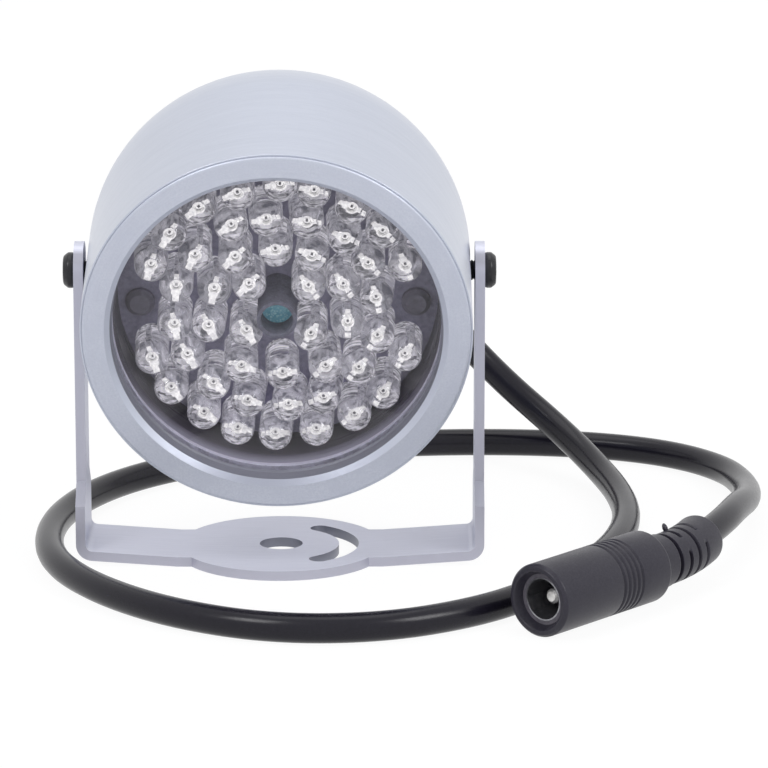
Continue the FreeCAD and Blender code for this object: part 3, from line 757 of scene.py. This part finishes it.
def add_node(kind, inputs=None, **settings):
    """Adds a node, sets its options, and fills or links its inputs."""
    node = tree.nodes.new(kind)
    for name, value in settings.items():
        setattr(node, name, value)
    for name, value in (inputs or {}).items():
        fill(node.inputs[name], value)
    return node


def maths(operation, first, second=0.0):
    return add_node("ShaderNodeMath", {0: first, 1: second}, operation=operation).outputs[0]


def times(first, second):
    return maths("MULTIPLY", first, second)


def stretch(value, from_low, from_high, to_low=0.0, to_high=1.0):
    """Carries a value from one range to another, and stops at the second one's ends."""
    return add_node("ShaderNodeMapRange", {
        "Value": value, "From Min": from_low, "From Max": from_high,
        "To Min": to_low, "To Max": to_high}).outputs["Result"]


def noise(place, scale, detail=2.0, roughness=0.5):
    return add_node("ShaderNodeTexNoise", {
        "Vector": place, "Scale": scale, "Detail": detail, "Roughness": roughness}).outputs["Fac"]


def parts_of(vector):
    return add_node("ShaderNodeSeparateXYZ", {"Vector": vector}).outputs


def distance_of(parts, first, second):
    """Distance from an axis, out of the two parts of a place that lie across it."""
    flat = add_node("ShaderNodeCombineXYZ", {first: parts[first], second: parts[second]})
    length = add_node("ShaderNodeVectorMath", {0: flat.outputs[0]}, operation="LENGTH")
    return length.outputs["Value"]


def blend_colours(mask, first, second, share=1.0):
    """Colour that goes from first to second with a mask, by a share of the mask."""
    if share < 1.0:
        mask = times(mask, share)
    return add_node("ShaderNodeMix", {0: mask, 6: first, 7: second}, data_type="RGBA").outputs[2]


def start_group(name, numbers, results):
    """A shader node group that takes a vector and named numbers and gives named values."""
    group = bpy.data.node_groups.new(name, "ShaderNodeTree")
    group.interface.new_socket("Vector", in_out="INPUT", socket_type="NodeSocketVector")
    for number_name, value in numbers.items():
        number = group.interface.new_socket(
            number_name, in_out="INPUT", socket_type="NodeSocketFloat")
        number.default_value = value
    for result_name in results:
        group.interface.new_socket(result_name, in_out="OUTPUT", socket_type="NodeSocketFloat")
    start_tree(group)
    entry = group.nodes.new("NodeGroupInput").outputs
    return group, entry, group.nodes.new("NodeGroupOutput").inputs


print("node helpers ready")

# %% [markdown]
# ### Grain
# Blasted metal, moulded plastic and rubber all have a fine pitted skin, at different scales. One
# group makes it from two noises, a fine one for the pits and a wide one that makes them patchy.

# %% Grain group
grain_group, entry, result = start_group(
    "Grain", {"Grains per mm": 4.0, "Patchiness": 0.5}, ("Mask", "Height"))
fine = noise(entry["Vector"], entry["Grains per mm"], 3.0, 0.65)
wide = noise(entry["Vector"], times(entry["Grains per mm"], 0.09))
pits = stretch(fine, 0.38, 0.64)
patches = stretch(wide, 0.35, 0.65)
even_part = maths("SUBTRACT", 1.0, entry["Patchiness"])
cover = maths("ADD", times(patches, entry["Patchiness"]), even_part)
fill(result["Mask"], times(pits, cover))
fill(result["Height"], times(fine, cover))
print("group", grain_group.name)

# %% [markdown]
# ### Turning marks
# A lathe leaves fine rings round the axis. The group works out how far a point is from the axis and
# how deep it is, and stretches a noise along those rings, so the marks run round without a seam.

# %% Turning marks group
marks_group, entry, result = start_group(
    "Turning marks", {"Lines per mm": 3.0, "Breaks": 2.0}, ("Mask", "Height"))
parts = parts_of(entry["Vector"])
from_axis = distance_of(parts, "X", "Z")
across = times(maths("DIVIDE", parts["X"], from_axis), entry["Breaks"])
upward = times(maths("DIVIDE", parts["Z"], from_axis), entry["Breaks"])
along_axis = times(parts["Y"], entry["Lines per mm"])
around = add_node("ShaderNodeCombineXYZ", {"X": across, "Y": along_axis, "Z": upward})
lines = add_node("ShaderNodeTexNoise", {
    "Vector": around.outputs["Vector"], "W": times(from_axis, entry["Lines per mm"]),
    "Scale": 1.0, "Detail": 4.0, "Roughness": 0.6}, noise_dimensions="4D").outputs["Fac"]
fill(result["Mask"], stretch(lines, 0.35, 0.65))
fill(result["Height"], lines)
print("group", marks_group.name)

# %% [markdown]
# ### Edge wear
# Handling polishes the corners of metal and greys those of black finishes. The renderer knows how
# sharply the surface turns at each point; the group keeps the sharp places and breaks them up with
# noise, because wear is never even.

# %% Edge wear group
wear_group, entry, result = start_group(
    "Edge wear", {"Threshold": 0.52, "Full": 0.62}, ("Mask",))
sharpness = add_node("ShaderNodeNewGeometry").outputs["Pointiness"]
edges = stretch(sharpness, entry["Threshold"], entry["Full"])
broken = stretch(noise(entry["Vector"], 1.4, 3.0), 0.3, 0.6)
fill(result["Mask"], times(edges, broken))
print("group", wear_group.name)

# %% [markdown]
# ### Dust
# Black rubber and plastic never look quite black: a thin dust lies on what faces up. The group
# reads the surface's normal and mixes in fine specks.

# %% Dust group
dust_group, entry, result = start_group(
    "Dust", {"Specks per mm": 2.0, "Amount": 0.3}, ("Mask",))
facing = parts_of(add_node("ShaderNodeNewGeometry").outputs["Normal"])
specks = noise(entry["Vector"], entry["Specks per mm"], 5.0, 0.7)
lying = times(stretch(facing["Z"], -0.3, 1.0, 0.15, 1.0), stretch(specks, 0.4, 0.7))
fill(result["Mask"], times(lying, entry["Amount"]))
print("group", dust_group.name)

# %% [markdown]
# Every material starts with places in millimetres and ends with a shader, so those steps are
# helpers too. Turned pieces also need places in the lamp's own tilted frame.

# %% Material helpers
def start_material(name):
    """Starts a material, and gives its object coordinates in millimetres."""
    material = bpy.data.materials.new(name)
    material.use_nodes = True
    start_tree(material.node_tree)
    coordinates = add_node("ShaderNodeTexCoord").outputs["Object"]
    in_mm = add_node("ShaderNodeVectorMath", {0: coordinates, "Scale": 1 / MM}, operation="SCALE")
    return in_mm.outputs["Vector"]


def lamp_millimetres():
    """Coordinates in the lamp's own frame, in mm: X across, Y depth, Z up."""
    coordinates = add_node("ShaderNodeTexCoord").outputs["Object"]
    node = add_node("ShaderNodeMapping", {
        "Vector": coordinates, "Location": lamp_place.translation * MM,
        "Rotation": (TILT, 0, 0), "Scale": (MM, MM, MM)}, vector_type="TEXTURE")
    return node.outputs["Vector"]


def spaced(values):
    """Names with spaces for underscores."""
    return {name.replace("_", " "): value for name, value in values.items()}


def use_group(group, **values):
    return add_node("ShaderNodeGroup", spaced(values), node_tree=group).outputs


def bump(height, distance):
    """Normal of a height given in the 0 to 1 range, with the full height as a distance in mm."""
    return add_node("ShaderNodeBump", {
        "Height": height, "Strength": 1.0, "Distance": distance * MM}).outputs["Normal"]


def principled(**inputs):
    return add_node("ShaderNodeBsdfPrincipled", spaced(inputs))


def mix_shaders(share, first, second):
    return add_node("ShaderNodeMixShader", {0: share, 1: first.outputs[0], 2: second.outputs[0]})


def finish_with(shader, kind="ShaderNodeOutputMaterial"):
    """Leads a shader to the output, the last step of a material."""
    add_node(kind, {"Surface": shader.outputs[0]})


print("material helpers ready")

# %% [markdown]
# ## Metal finishes
# The housing is a silver casting, brushed round on the lathe and sealed: pale, a little blue, with
# long soft streaks. The ring was blasted after turning and shows fine speckle; its face is painted
# lighter towards the top as painted light, its bevel has a painted highlight on the sides and
# painted shade at the bottom, and its bore is painted dark as painted shade. The bracket is satin
# sheet with upright streaks; its edges are painted darker as painted shade, and the walls of its
# hole and slot are painted darker still. A flat colour could stand for each, but these differences
# are what the eye reads as metal. All three are partly metallic, because a sealed satin finish
# sends back part of its light evenly and part as a mirror would.

# %% Housing finish
place = start_material("housing_satin")
lamp = lamp_millimetres()
marks = use_group(marks_group, Vector=lamp, Lines_per_mm=1.2, Breaks=2.5)
fine_marks = use_group(marks_group, Vector=lamp, Lines_per_mm=9.0, Breaks=12.0)
grain = use_group(grain_group, Vector=place, Grains_per_mm=3.2, Patchiness=0.5)
streaks = maths("ADD", times(marks["Mask"], 0.5), times(fine_marks["Mask"], 0.5))
colour = blend_colours(streaks, (0.515, 0.550, 0.645), (0.565, 0.600, 0.700))
colour = blend_colours(grain["Mask"], colour, (0.64, 0.67, 0.75), 0.12)
height = maths("ADD", fine_marks["Height"], times(grain["Height"], 0.4))
finish_with(principled(Base_Color=colour, Metallic=0.5, Coat_Weight=0.6, Coat_Roughness=0.3,
                       Roughness=stretch(streaks, 0.0, 1.0, 0.44, 0.36),
                       Normal=bump(height, 0.008)))
print("housing finish made")

# %% Ring finish
place = start_material("ring_blasted")
lamp = lamp_millimetres()
marks = use_group(marks_group, Vector=lamp, Lines_per_mm=5.0, Breaks=6.0)
grain = use_group(grain_group, Vector=place, Grains_per_mm=3.4, Patchiness=0.6)
parts = parts_of(lamp)
# Painted light: the face is painted lighter towards the top.
upper = stretch(parts["Z"], -RING_RADIUS, RING_RADIUS)
painted_light_height = stretch(parts["Z"], -RING_RADIUS * 0.85, -RING_RADIUS * 0.6)
from_axis = distance_of(parts, "X", "Z")
bevel_edge = RING_BORE + RING_CHAMFER
on_bevel = stretch(from_axis, bevel_edge + 0.02, bevel_edge - 0.04)
painted_bore_shade = stretch(from_axis, RING_BORE + 0.05, RING_BORE + 0.01)
colour = blend_colours(upper, (0.525, 0.552, 0.652), (0.595, 0.625, 0.730))
colour = blend_colours(marks["Mask"], colour, (0.50, 0.53, 0.61), 0.3)
colour = blend_colours(grain["Mask"], colour, (0.70, 0.73, 0.80), 0.30)
# Painted light: the bevel gets a painted highlight on its sides and painted shade at its bottom.
bevel = blend_colours(painted_light_height, (0.385, 0.405, 0.485), (0.590, 0.622, 0.725))
colour = blend_colours(on_bevel, colour, bevel)
# Painted shade: the bore is painted dark, and not metallic.
colour = blend_colours(painted_bore_shade, colour, (0.210, 0.213, 0.262))
height = maths("ADD", times(marks["Height"], 0.4), grain["Height"])
finish_with(principled(Base_Color=colour, Metallic=stretch(painted_bore_shade, 0, 1, 0.5, 0.0),
                       Roughness=stretch(grain["Mask"], 0, 1, 0.48, 0.36),
                       Normal=bump(height, 0.022)))
print("ring finish made")

# %% Bracket finish
HUB_TOP = 2.6      # mm above the floor; the walls of the hub's openings are lower
SLOT_REACH = 14.6  # mm from the hub's middle

place = start_material("bracket_satin")
brushed = add_node("ShaderNodeMapping", {"Vector": place, "Scale": (0.15, 6.0, 0.6)})
streaks = noise(brushed.outputs["Vector"], 1.0, 4.0)
grain = use_group(grain_group, Vector=place, Grains_per_mm=9.0, Patchiness=0.3)
smooth_normal = add_node("ShaderNodeNewGeometry").outputs["Normal"]
own_normal = add_node("ShaderNodeVectorTransform", {"Vector": smooth_normal},
                      vector_type="NORMAL", convert_from="WORLD", convert_to="OBJECT")
facing = parts_of(own_normal.outputs[0])
sideways = maths("ABSOLUTE", facing["Y"])
level = maths("ABSOLUTE", facing["Z"])
parts = parts_of(place)
low = stretch(parts["Z"], HUB_TOP, HUB_TOP - 0.4)
near_slot = stretch(distance_of(parts, "X", "Y"), SLOT_REACH, SLOT_REACH - 0.4)
wall = times(stretch(level, 0.6, 0.4), low)
colour = blend_colours(stretch(streaks, 0.35, 0.65), (0.680, 0.690, 0.800),
                       (0.730, 0.740, 0.850))
colour = blend_colours(grain["Mask"], colour, (0.80, 0.81, 0.88), 0.10)
# Painted shade: faces that face front or back, the sheet's edges, are painted darker than the top,
# and the tapered shoulders darker still; the low walls of the hub's openings get the same shade.
square_on = maths("MAXIMUM", stretch(sideways, 0.88, 0.97), low)
edge = blend_colours(square_on, (0.42, 0.42, 0.485), (0.54, 0.54, 0.63))
painted_edge_shade = maths("MAXIMUM", stretch(sideways, 0.5, 0.7), wall)
colour = blend_colours(painted_edge_shade, colour, edge)
# Painted shade: the walls of the hole and slots in the hub are painted darker still.
colour = blend_colours(times(wall, near_slot), colour, (0.290, 0.298, 0.355))
finish_with(principled(Base_Color=colour, Metallic=0.5,
                       Roughness=stretch(grain["Mask"], 0, 1, 0.46, 0.38),
                       Normal=bump(grain["Height"], 0.004)))
print("bracket finish made")

# %% [markdown]
# ## Clear pieces
# The window and the diodes are clear, so light has to reach what is behind them. True refraction
# would keep the lamps' light from it, so rays that only test for shadow go straight through, and
# all others are bent and reflected as in real glass. The window's index of 1.3 is below real glass,
# because the pane in the photograph reflects little. The resin is a hair short of fully clear,
# which gives the diodes the faint milkiness of cast plastic.

# %% Glass and resin
def clear_finish(name, tint, ior, clearness, ripples_per_mm, ripple_depth):
    place = start_material(name)
    ripple = noise(place, ripples_per_mm, 1.0)
    glass = principled(Base_Color=tint, Roughness=0.0, IOR=ior, Transmission_Weight=clearness,
                       Normal=bump(ripple, ripple_depth))
    open_way = add_node("ShaderNodeBsdfTransparent", {"Color": tint})
    shadow_ray = add_node("ShaderNodeLightPath").outputs["Is Shadow Ray"]
    finish_with(mix_shaders(shadow_ray, glass, open_way))


clear_finish("window_clear_glass", (0.975, 0.975, 0.985), 1.3, 1.0, 0.35, 0.004)
clear_finish("diode_clear_resin", (0.965, 0.955, 0.985), 1.52, 0.955, 1.3, 0.018)
print("clear finishes made")

# %% [markdown]
# ## Dark pieces
# The board has a dark, slightly glossy solder mask, the seal is grey rubber, the hood is dark grey,
# and the bush is black. The lead's sheath is smooth with a soft sheen; the socket is a finely
# grained moulding that picks up dust. One function can make them all, because they differ only in
# colour, shine, grain and dust. The spacer is satin grey plastic; its bevel is painted lighter at
# the bottom as painted light, and its wall is painted darker inwards as painted shade, as light
# hardly reaches it near the board.

# %% Rubber and plastic
def dark_finish(name, colour, roughness, grains, depth, dust, shine):
    place = start_material(name)
    grain = use_group(grain_group, Vector=place, Grains_per_mm=grains, Patchiness=0.4)
    wear = use_group(wear_group, Vector=place, Threshold=0.51, Full=0.60)
    settled = use_group(dust_group, Vector=place, Specks_per_mm=grains * 0.5, Amount=dust)
    pale = tuple(min(1.0, c * 1.7 + 0.004) for c in colour)
    worn = tuple(c * 2.2 + 0.02 for c in colour)
    mixed = blend_colours(grain["Mask"], colour, pale, 0.35)
    mixed = blend_colours(wear["Mask"], mixed, worn, 0.35)
    mixed = blend_colours(settled["Mask"], mixed, (0.22, 0.22, 0.25))
    rough = stretch(grain["Mask"], 0, 1, roughness + 0.06, roughness - 0.04)
    finish_with(principled(Base_Color=mixed, Specular_IOR_Level=shine, Roughness=rough,
                           Normal=bump(grain["Height"], depth)))


# Name: colour, roughness, grains per mm, their depth, dust and shine.
DARK_FINISHES = {
    "lead_sheath": ((0.008, 0.007, 0.013), 0.21, 6.0, 0.001, 0.005, 0.28),
    "socket_grained": ((0.022, 0.020, 0.031), 0.34, 6.0, 0.014, 0.08, 0.32),
    "bush_matt_rubber": ((0.022, 0.022, 0.026), 0.6, 3.0, 0.02, 0.15, 0.5),
    "seal_grey_rubber": ((0.42, 0.41, 0.50), 0.5, 3.0, 0.01, 0.05, 0.3),
    "hood_matt_black": ((0.088, 0.088, 0.120), 0.65, 3.0, 0.02, 0.05, 0.2),
    "board_screw_grey": ((0.140, 0.132, 0.172), 0.45, 2.0, 0.01, 0.05, 0.2),
    "board_solder_mask": ((0.195, 0.186, 0.260), 0.42, 1.0, 0.01, 0.06, 0.2),
    "insert_smooth_black": ((0.085, 0.078, 0.095), 0.35, 3.0, 0.005, 0.05, 0.3),
    "screw_black_oxide": ((0.012, 0.012, 0.015), 0.30, 2.0, 0.012, 0.06, 0.35),
}
for name, numbers in DARK_FINISHES.items():
    dark_finish(name, *numbers)
print("dark finishes made")

# %% Spacer finish
start_material("spacer_satin_grey")
lamp = lamp_millimetres()
parts = parts_of(lamp)
marks = use_group(marks_group, Vector=lamp, Lines_per_mm=3.0, Breaks=2.5)
# Painted light: the bevel is painted lighter at the bottom; further in, the wall is painted dark as
# painted shade.
painted_light_height = stretch(parts["Z"], -SPACER_BORE * 0.8, -SPACER_BORE * 0.3)
painted_inward_shade = stretch(parts["Y"], SEAL_BACK + 0.4, SEAL_BACK + 2.2)
bevel = blend_colours(painted_light_height, (0.270, 0.260, 0.325), (0.085, 0.080, 0.100))
colour = blend_colours(painted_inward_shade, bevel, (0.026, 0.023, 0.031))
colour = blend_colours(marks["Mask"], colour, (0.22, 0.21, 0.26), 0.10)
finish_with(principled(Base_Color=colour, Specular_IOR_Level=0.3,
                       Roughness=stretch(marks["Mask"], 0, 1, 0.34, 0.26),
                       Normal=bump(marks["Height"], 0.006)))
print("spacer finish made")

# %% [markdown]
# ## Small finishes
# The leadframes and the socket's contacts are plated metal. A lens gathers light on its leadframe
# and on the cloudy foot behind it, which the renderer doesn't follow, so their finishes give out a
# little light of their own. The sensor has a teal filter with a speckled surface, and the chips are
# dark. What is sealed behind the board gets a simple finish too, in case the lamp is shown open.

# %% Plating, chip and hidden parts
def varied_finish(name, low, high, scale, metallic, roughness, depth, coat=0.0, glow=0.0):
    """A finish whose colour and roughness wander between two values."""
    place = start_material(name)
    wander = noise(place, scale, 3.0)
    mask = stretch(wander, 0.35, 0.65)
    colour = blend_colours(mask, low, high)
    finish_with(principled(Base_Color=colour, Metallic=metallic, Coat_Weight=coat,
                           Emission_Color=colour, Emission_Strength=glow,
                           Roughness=stretch(mask, 0, 1, roughness + 0.05, roughness - 0.05),
                           Normal=bump(wander, depth)))


# Name: both colours, scale, metallic, roughness, bump depth, coat and glow.
SMALL_FINISHES = {
    "leadframe_silver": ((0.66, 0.65, 0.66), (0.99, 0.98, 0.95), 4.0, 0.7, 0.2, 0.03, 0, 0.34),
    # Painted shade: the leadframes' sides are a darker copy of the plating, with less glow.
    "leadframe_side_painted_shade": ((0.16, 0.16, 0.20), (0.80, 0.79, 0.84), 1.5, 0.5, 0.3, 0.03, 0, 0.22),
    "diode_cloudy_base": ((0.05, 0.05, 0.07), (0.93, 0.91, 0.96), 1.8, 0.0, 0.3, 0.03, 0, 0.46),
    "diode_chip": ((0.03, 0.03, 0.05), (0.08, 0.07, 0.10), 20.0, 0.3, 0.3, 0.0),
    "contact_nickel": ((0.20, 0.20, 0.22), (0.34, 0.34, 0.36), 1.5, 0.8, 0.12, 0.004),
    "pin_bright_nickel": ((0.55, 0.54, 0.53), (0.85, 0.84, 0.82), 1.5, 0.6, 0.2, 0.004),
    "resistor_lacquer": ((0.30, 0.44, 0.54), (0.42, 0.58, 0.68), 2.0, 0.0, 0.25, 0.01, 0.5),
    "transistor_mould": ((0.02, 0.02, 0.02), (0.05, 0.05, 0.05), 3.0, 0.0, 0.6, 0.02),
    "wire_red_insulation": ((0.42, 0.02, 0.02), (0.60, 0.05, 0.04), 1.0, 0.0, 0.3, 0.004),
    "wire_black_insulation": ((0.01, 0.01, 0.01), (0.04, 0.04, 0.04), 1.0, 0.0, 0.3, 0.004),
}
for name, numbers in SMALL_FINISHES.items():
    varied_finish(name, *numbers)
print("small finishes made")

# %% Sensor finish
place = start_material("sensor_teal_filter")
cells = add_node("ShaderNodeTexVoronoi", {"Vector": place, "Scale": 2.6}, feature="F1")
specks = stretch(cells.outputs["Distance"], 0.05, 0.55)
clouds = stretch(noise(place, 0.9, 3.0), 0.4, 0.7)
colour = blend_colours(specks, (0.55, 0.95, 1.0), (0.15, 0.50, 0.66))
colour = blend_colours(clouds, colour, (0.24, 0.64, 0.78))
finish_with(principled(Base_Color=colour, Coat_Weight=0.3,
                       Roughness=stretch(specks, 0, 1, 0.3, 0.5), Normal=bump(specks, 0.05)))
print("sensor finish made")

# %% [markdown]
# ## Giving out the finishes
# New pieces get their finish in their mesh. The frame's own nodes keep their shape, and only their
# material slots change, because their solids are what the checks know.

# %% Finishes on pieces
PIECE_FINISHES = {
    "housing_turned": ["housing_satin"], "front_ring_turned": ["ring_blasted"],
    "window_pane": ["window_clear_glass"], "window_seal": ["seal_grey_rubber"],
    "spacer_turned": ["spacer_satin_grey"], "socket_moulding": ["socket_grained"],
    "pivot_screws_threaded": ["screw_black_oxide"], "cable_bush_moulded": ["bush_matt_rubber"],
    "power_lead_sheath": ["lead_sheath"],
}
LEADFRAME_FINISHES = ["leadframe_silver", "diode_chip", "diode_cloudy_base", "leadframe_side_painted_shade"]
NODE_FINISHES = {
    "mounting_bracket": "bracket_satin", "led_board": "board_solder_mask",
    "board_screws": "board_screw_grey", "light_sensor": "sensor_teal_filter",
    "sensor_hood": "hood_matt_black", "board_resistors": "resistor_lacquer",
    "switch_transistor": "transistor_mould", "positive_wire": "wire_red_insulation",
    "negative_wire": "wire_black_insulation", "socket_insert": "insert_smooth_black",
    "contact_sleeve": "contact_nickel", "centre_pin": "pin_bright_nickel",
}

for ring_name, *_ in RINGS:
    PIECE_FINISHES["diode_lenses_" + ring_name] = ["diode_clear_resin"]
    PIECE_FINISHES["diode_frames_" + ring_name] = LEADFRAME_FINISHES
for piece_name, finish_names in PIECE_FINISHES.items():
    slots = bpy.data.objects[piece_name].data.materials
    for number, finish_name in enumerate(finish_names):
        if number == len(slots):
            slots.append(None)
        slots[number] = bpy.data.materials[finish_name]
for node_name, finish_name in NODE_FINISHES.items():
    for material_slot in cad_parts[node_name].material_slots:
        material_slot.material = bpy.data.materials[finish_name]
print("dressed", len(PIECE_FINISHES), "pieces and", len(NODE_FINISHES), "nodes")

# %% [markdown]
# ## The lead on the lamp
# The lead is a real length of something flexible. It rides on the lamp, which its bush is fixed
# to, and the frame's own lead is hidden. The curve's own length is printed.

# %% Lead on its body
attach(lead, "lamp")
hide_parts("power_lead")
print("lead length along its line, mm", round(lead_line.calc_length() / MM, 1))

# %% [markdown]
# ## The studio
# A product shot like this has a pale floor that runs into a white background, and large soft lamps.
# The floor is lit like any surface, so it keeps the object's shadow, and adds a plain white to what
# the camera and shiny surfaces see. The world does the same, and otherwise gives a soft grey light.

# %% Floor
FLOOR_REACH = 3.0
FLOOR_GLOW = 1.04
FLOOR_WHITE = 0.9


def seen_rays():
    """1 for rays from the camera, from glossy surfaces and through clear ones, or else 0."""
    rays = add_node("ShaderNodeLightPath").outputs
    mirrored = maths("MAXIMUM", rays["Is Glossy Ray"], rays["Is Transmission Ray"])
    return maths("MAXIMUM", rays["Is Camera Ray"], mirrored)


place = start_material("studio_floor")
colour = blend_colours(noise(place, 0.02), (0.90, 0.90, 0.905), (0.93, 0.93, 0.935))
white_glow = add_node("ShaderNodeEmission", {"Color": (1, 1, 1), "Strength": FLOOR_GLOW})
finish_with(mix_shaders(times(seen_rays(), FLOOR_WHITE),
                        principled(Base_Color=colour, Roughness=0.6), white_glow))

floor_mesh = bpy.data.meshes.new("studio_floor")
corners = [(x * FLOOR_REACH, y * FLOOR_REACH, 0) for x, y in ((-1, -1), (1, -1), (1, 1), (-1, 1))]
floor_mesh.from_pydata(corners, [], [(0, 1, 2, 3)])
floor_mesh.materials.append(bpy.data.materials["studio_floor"])
floor = add_to_scene("studio_floor", floor_mesh)
print("floor", floor.dimensions[:])

# %% World
world = bpy.data.worlds.new("studio")
bpy.context.scene.world = world
world.use_nodes = True
start_tree(world.node_tree)
soft_fill = add_node("ShaderNodeBackground", {"Color": (0.95, 0.96, 1.0), "Strength": 0.42})
white_sky = add_node("ShaderNodeBackground", {"Color": (1, 1, 1), "Strength": 1.0})
finish_with(mix_shaders(seen_rays(), soft_fill, white_sky), "ShaderNodeOutputWorld")
print("world ready")

# %% Lamps
AIM = Vector((0.0, 0.0, 0.03))
# Each lamp: name, place and size in metres, power in watts.
LAMPS = (
    ("key_lamp", (-0.60, -0.60, 0.95), 0.4, 4.0),
    ("fill_lamp", (0.80, -0.50, 0.72), 0.4, 3.9),
    ("top_lamp", (0.0, 0.25, 1.2), 0.8, 2.2),
)

for name, place, size, watts in LAMPS:
    light = bpy.data.lights.new(name, "AREA")
    light.shape = "SQUARE"
    light.size = size
    light.energy = watts
    lamp = add_to_scene(name, light)
    lamp.location = place
    lamp.rotation_euler = (AIM - Vector(place)).to_track_quat("-Z", "Y").to_euler()
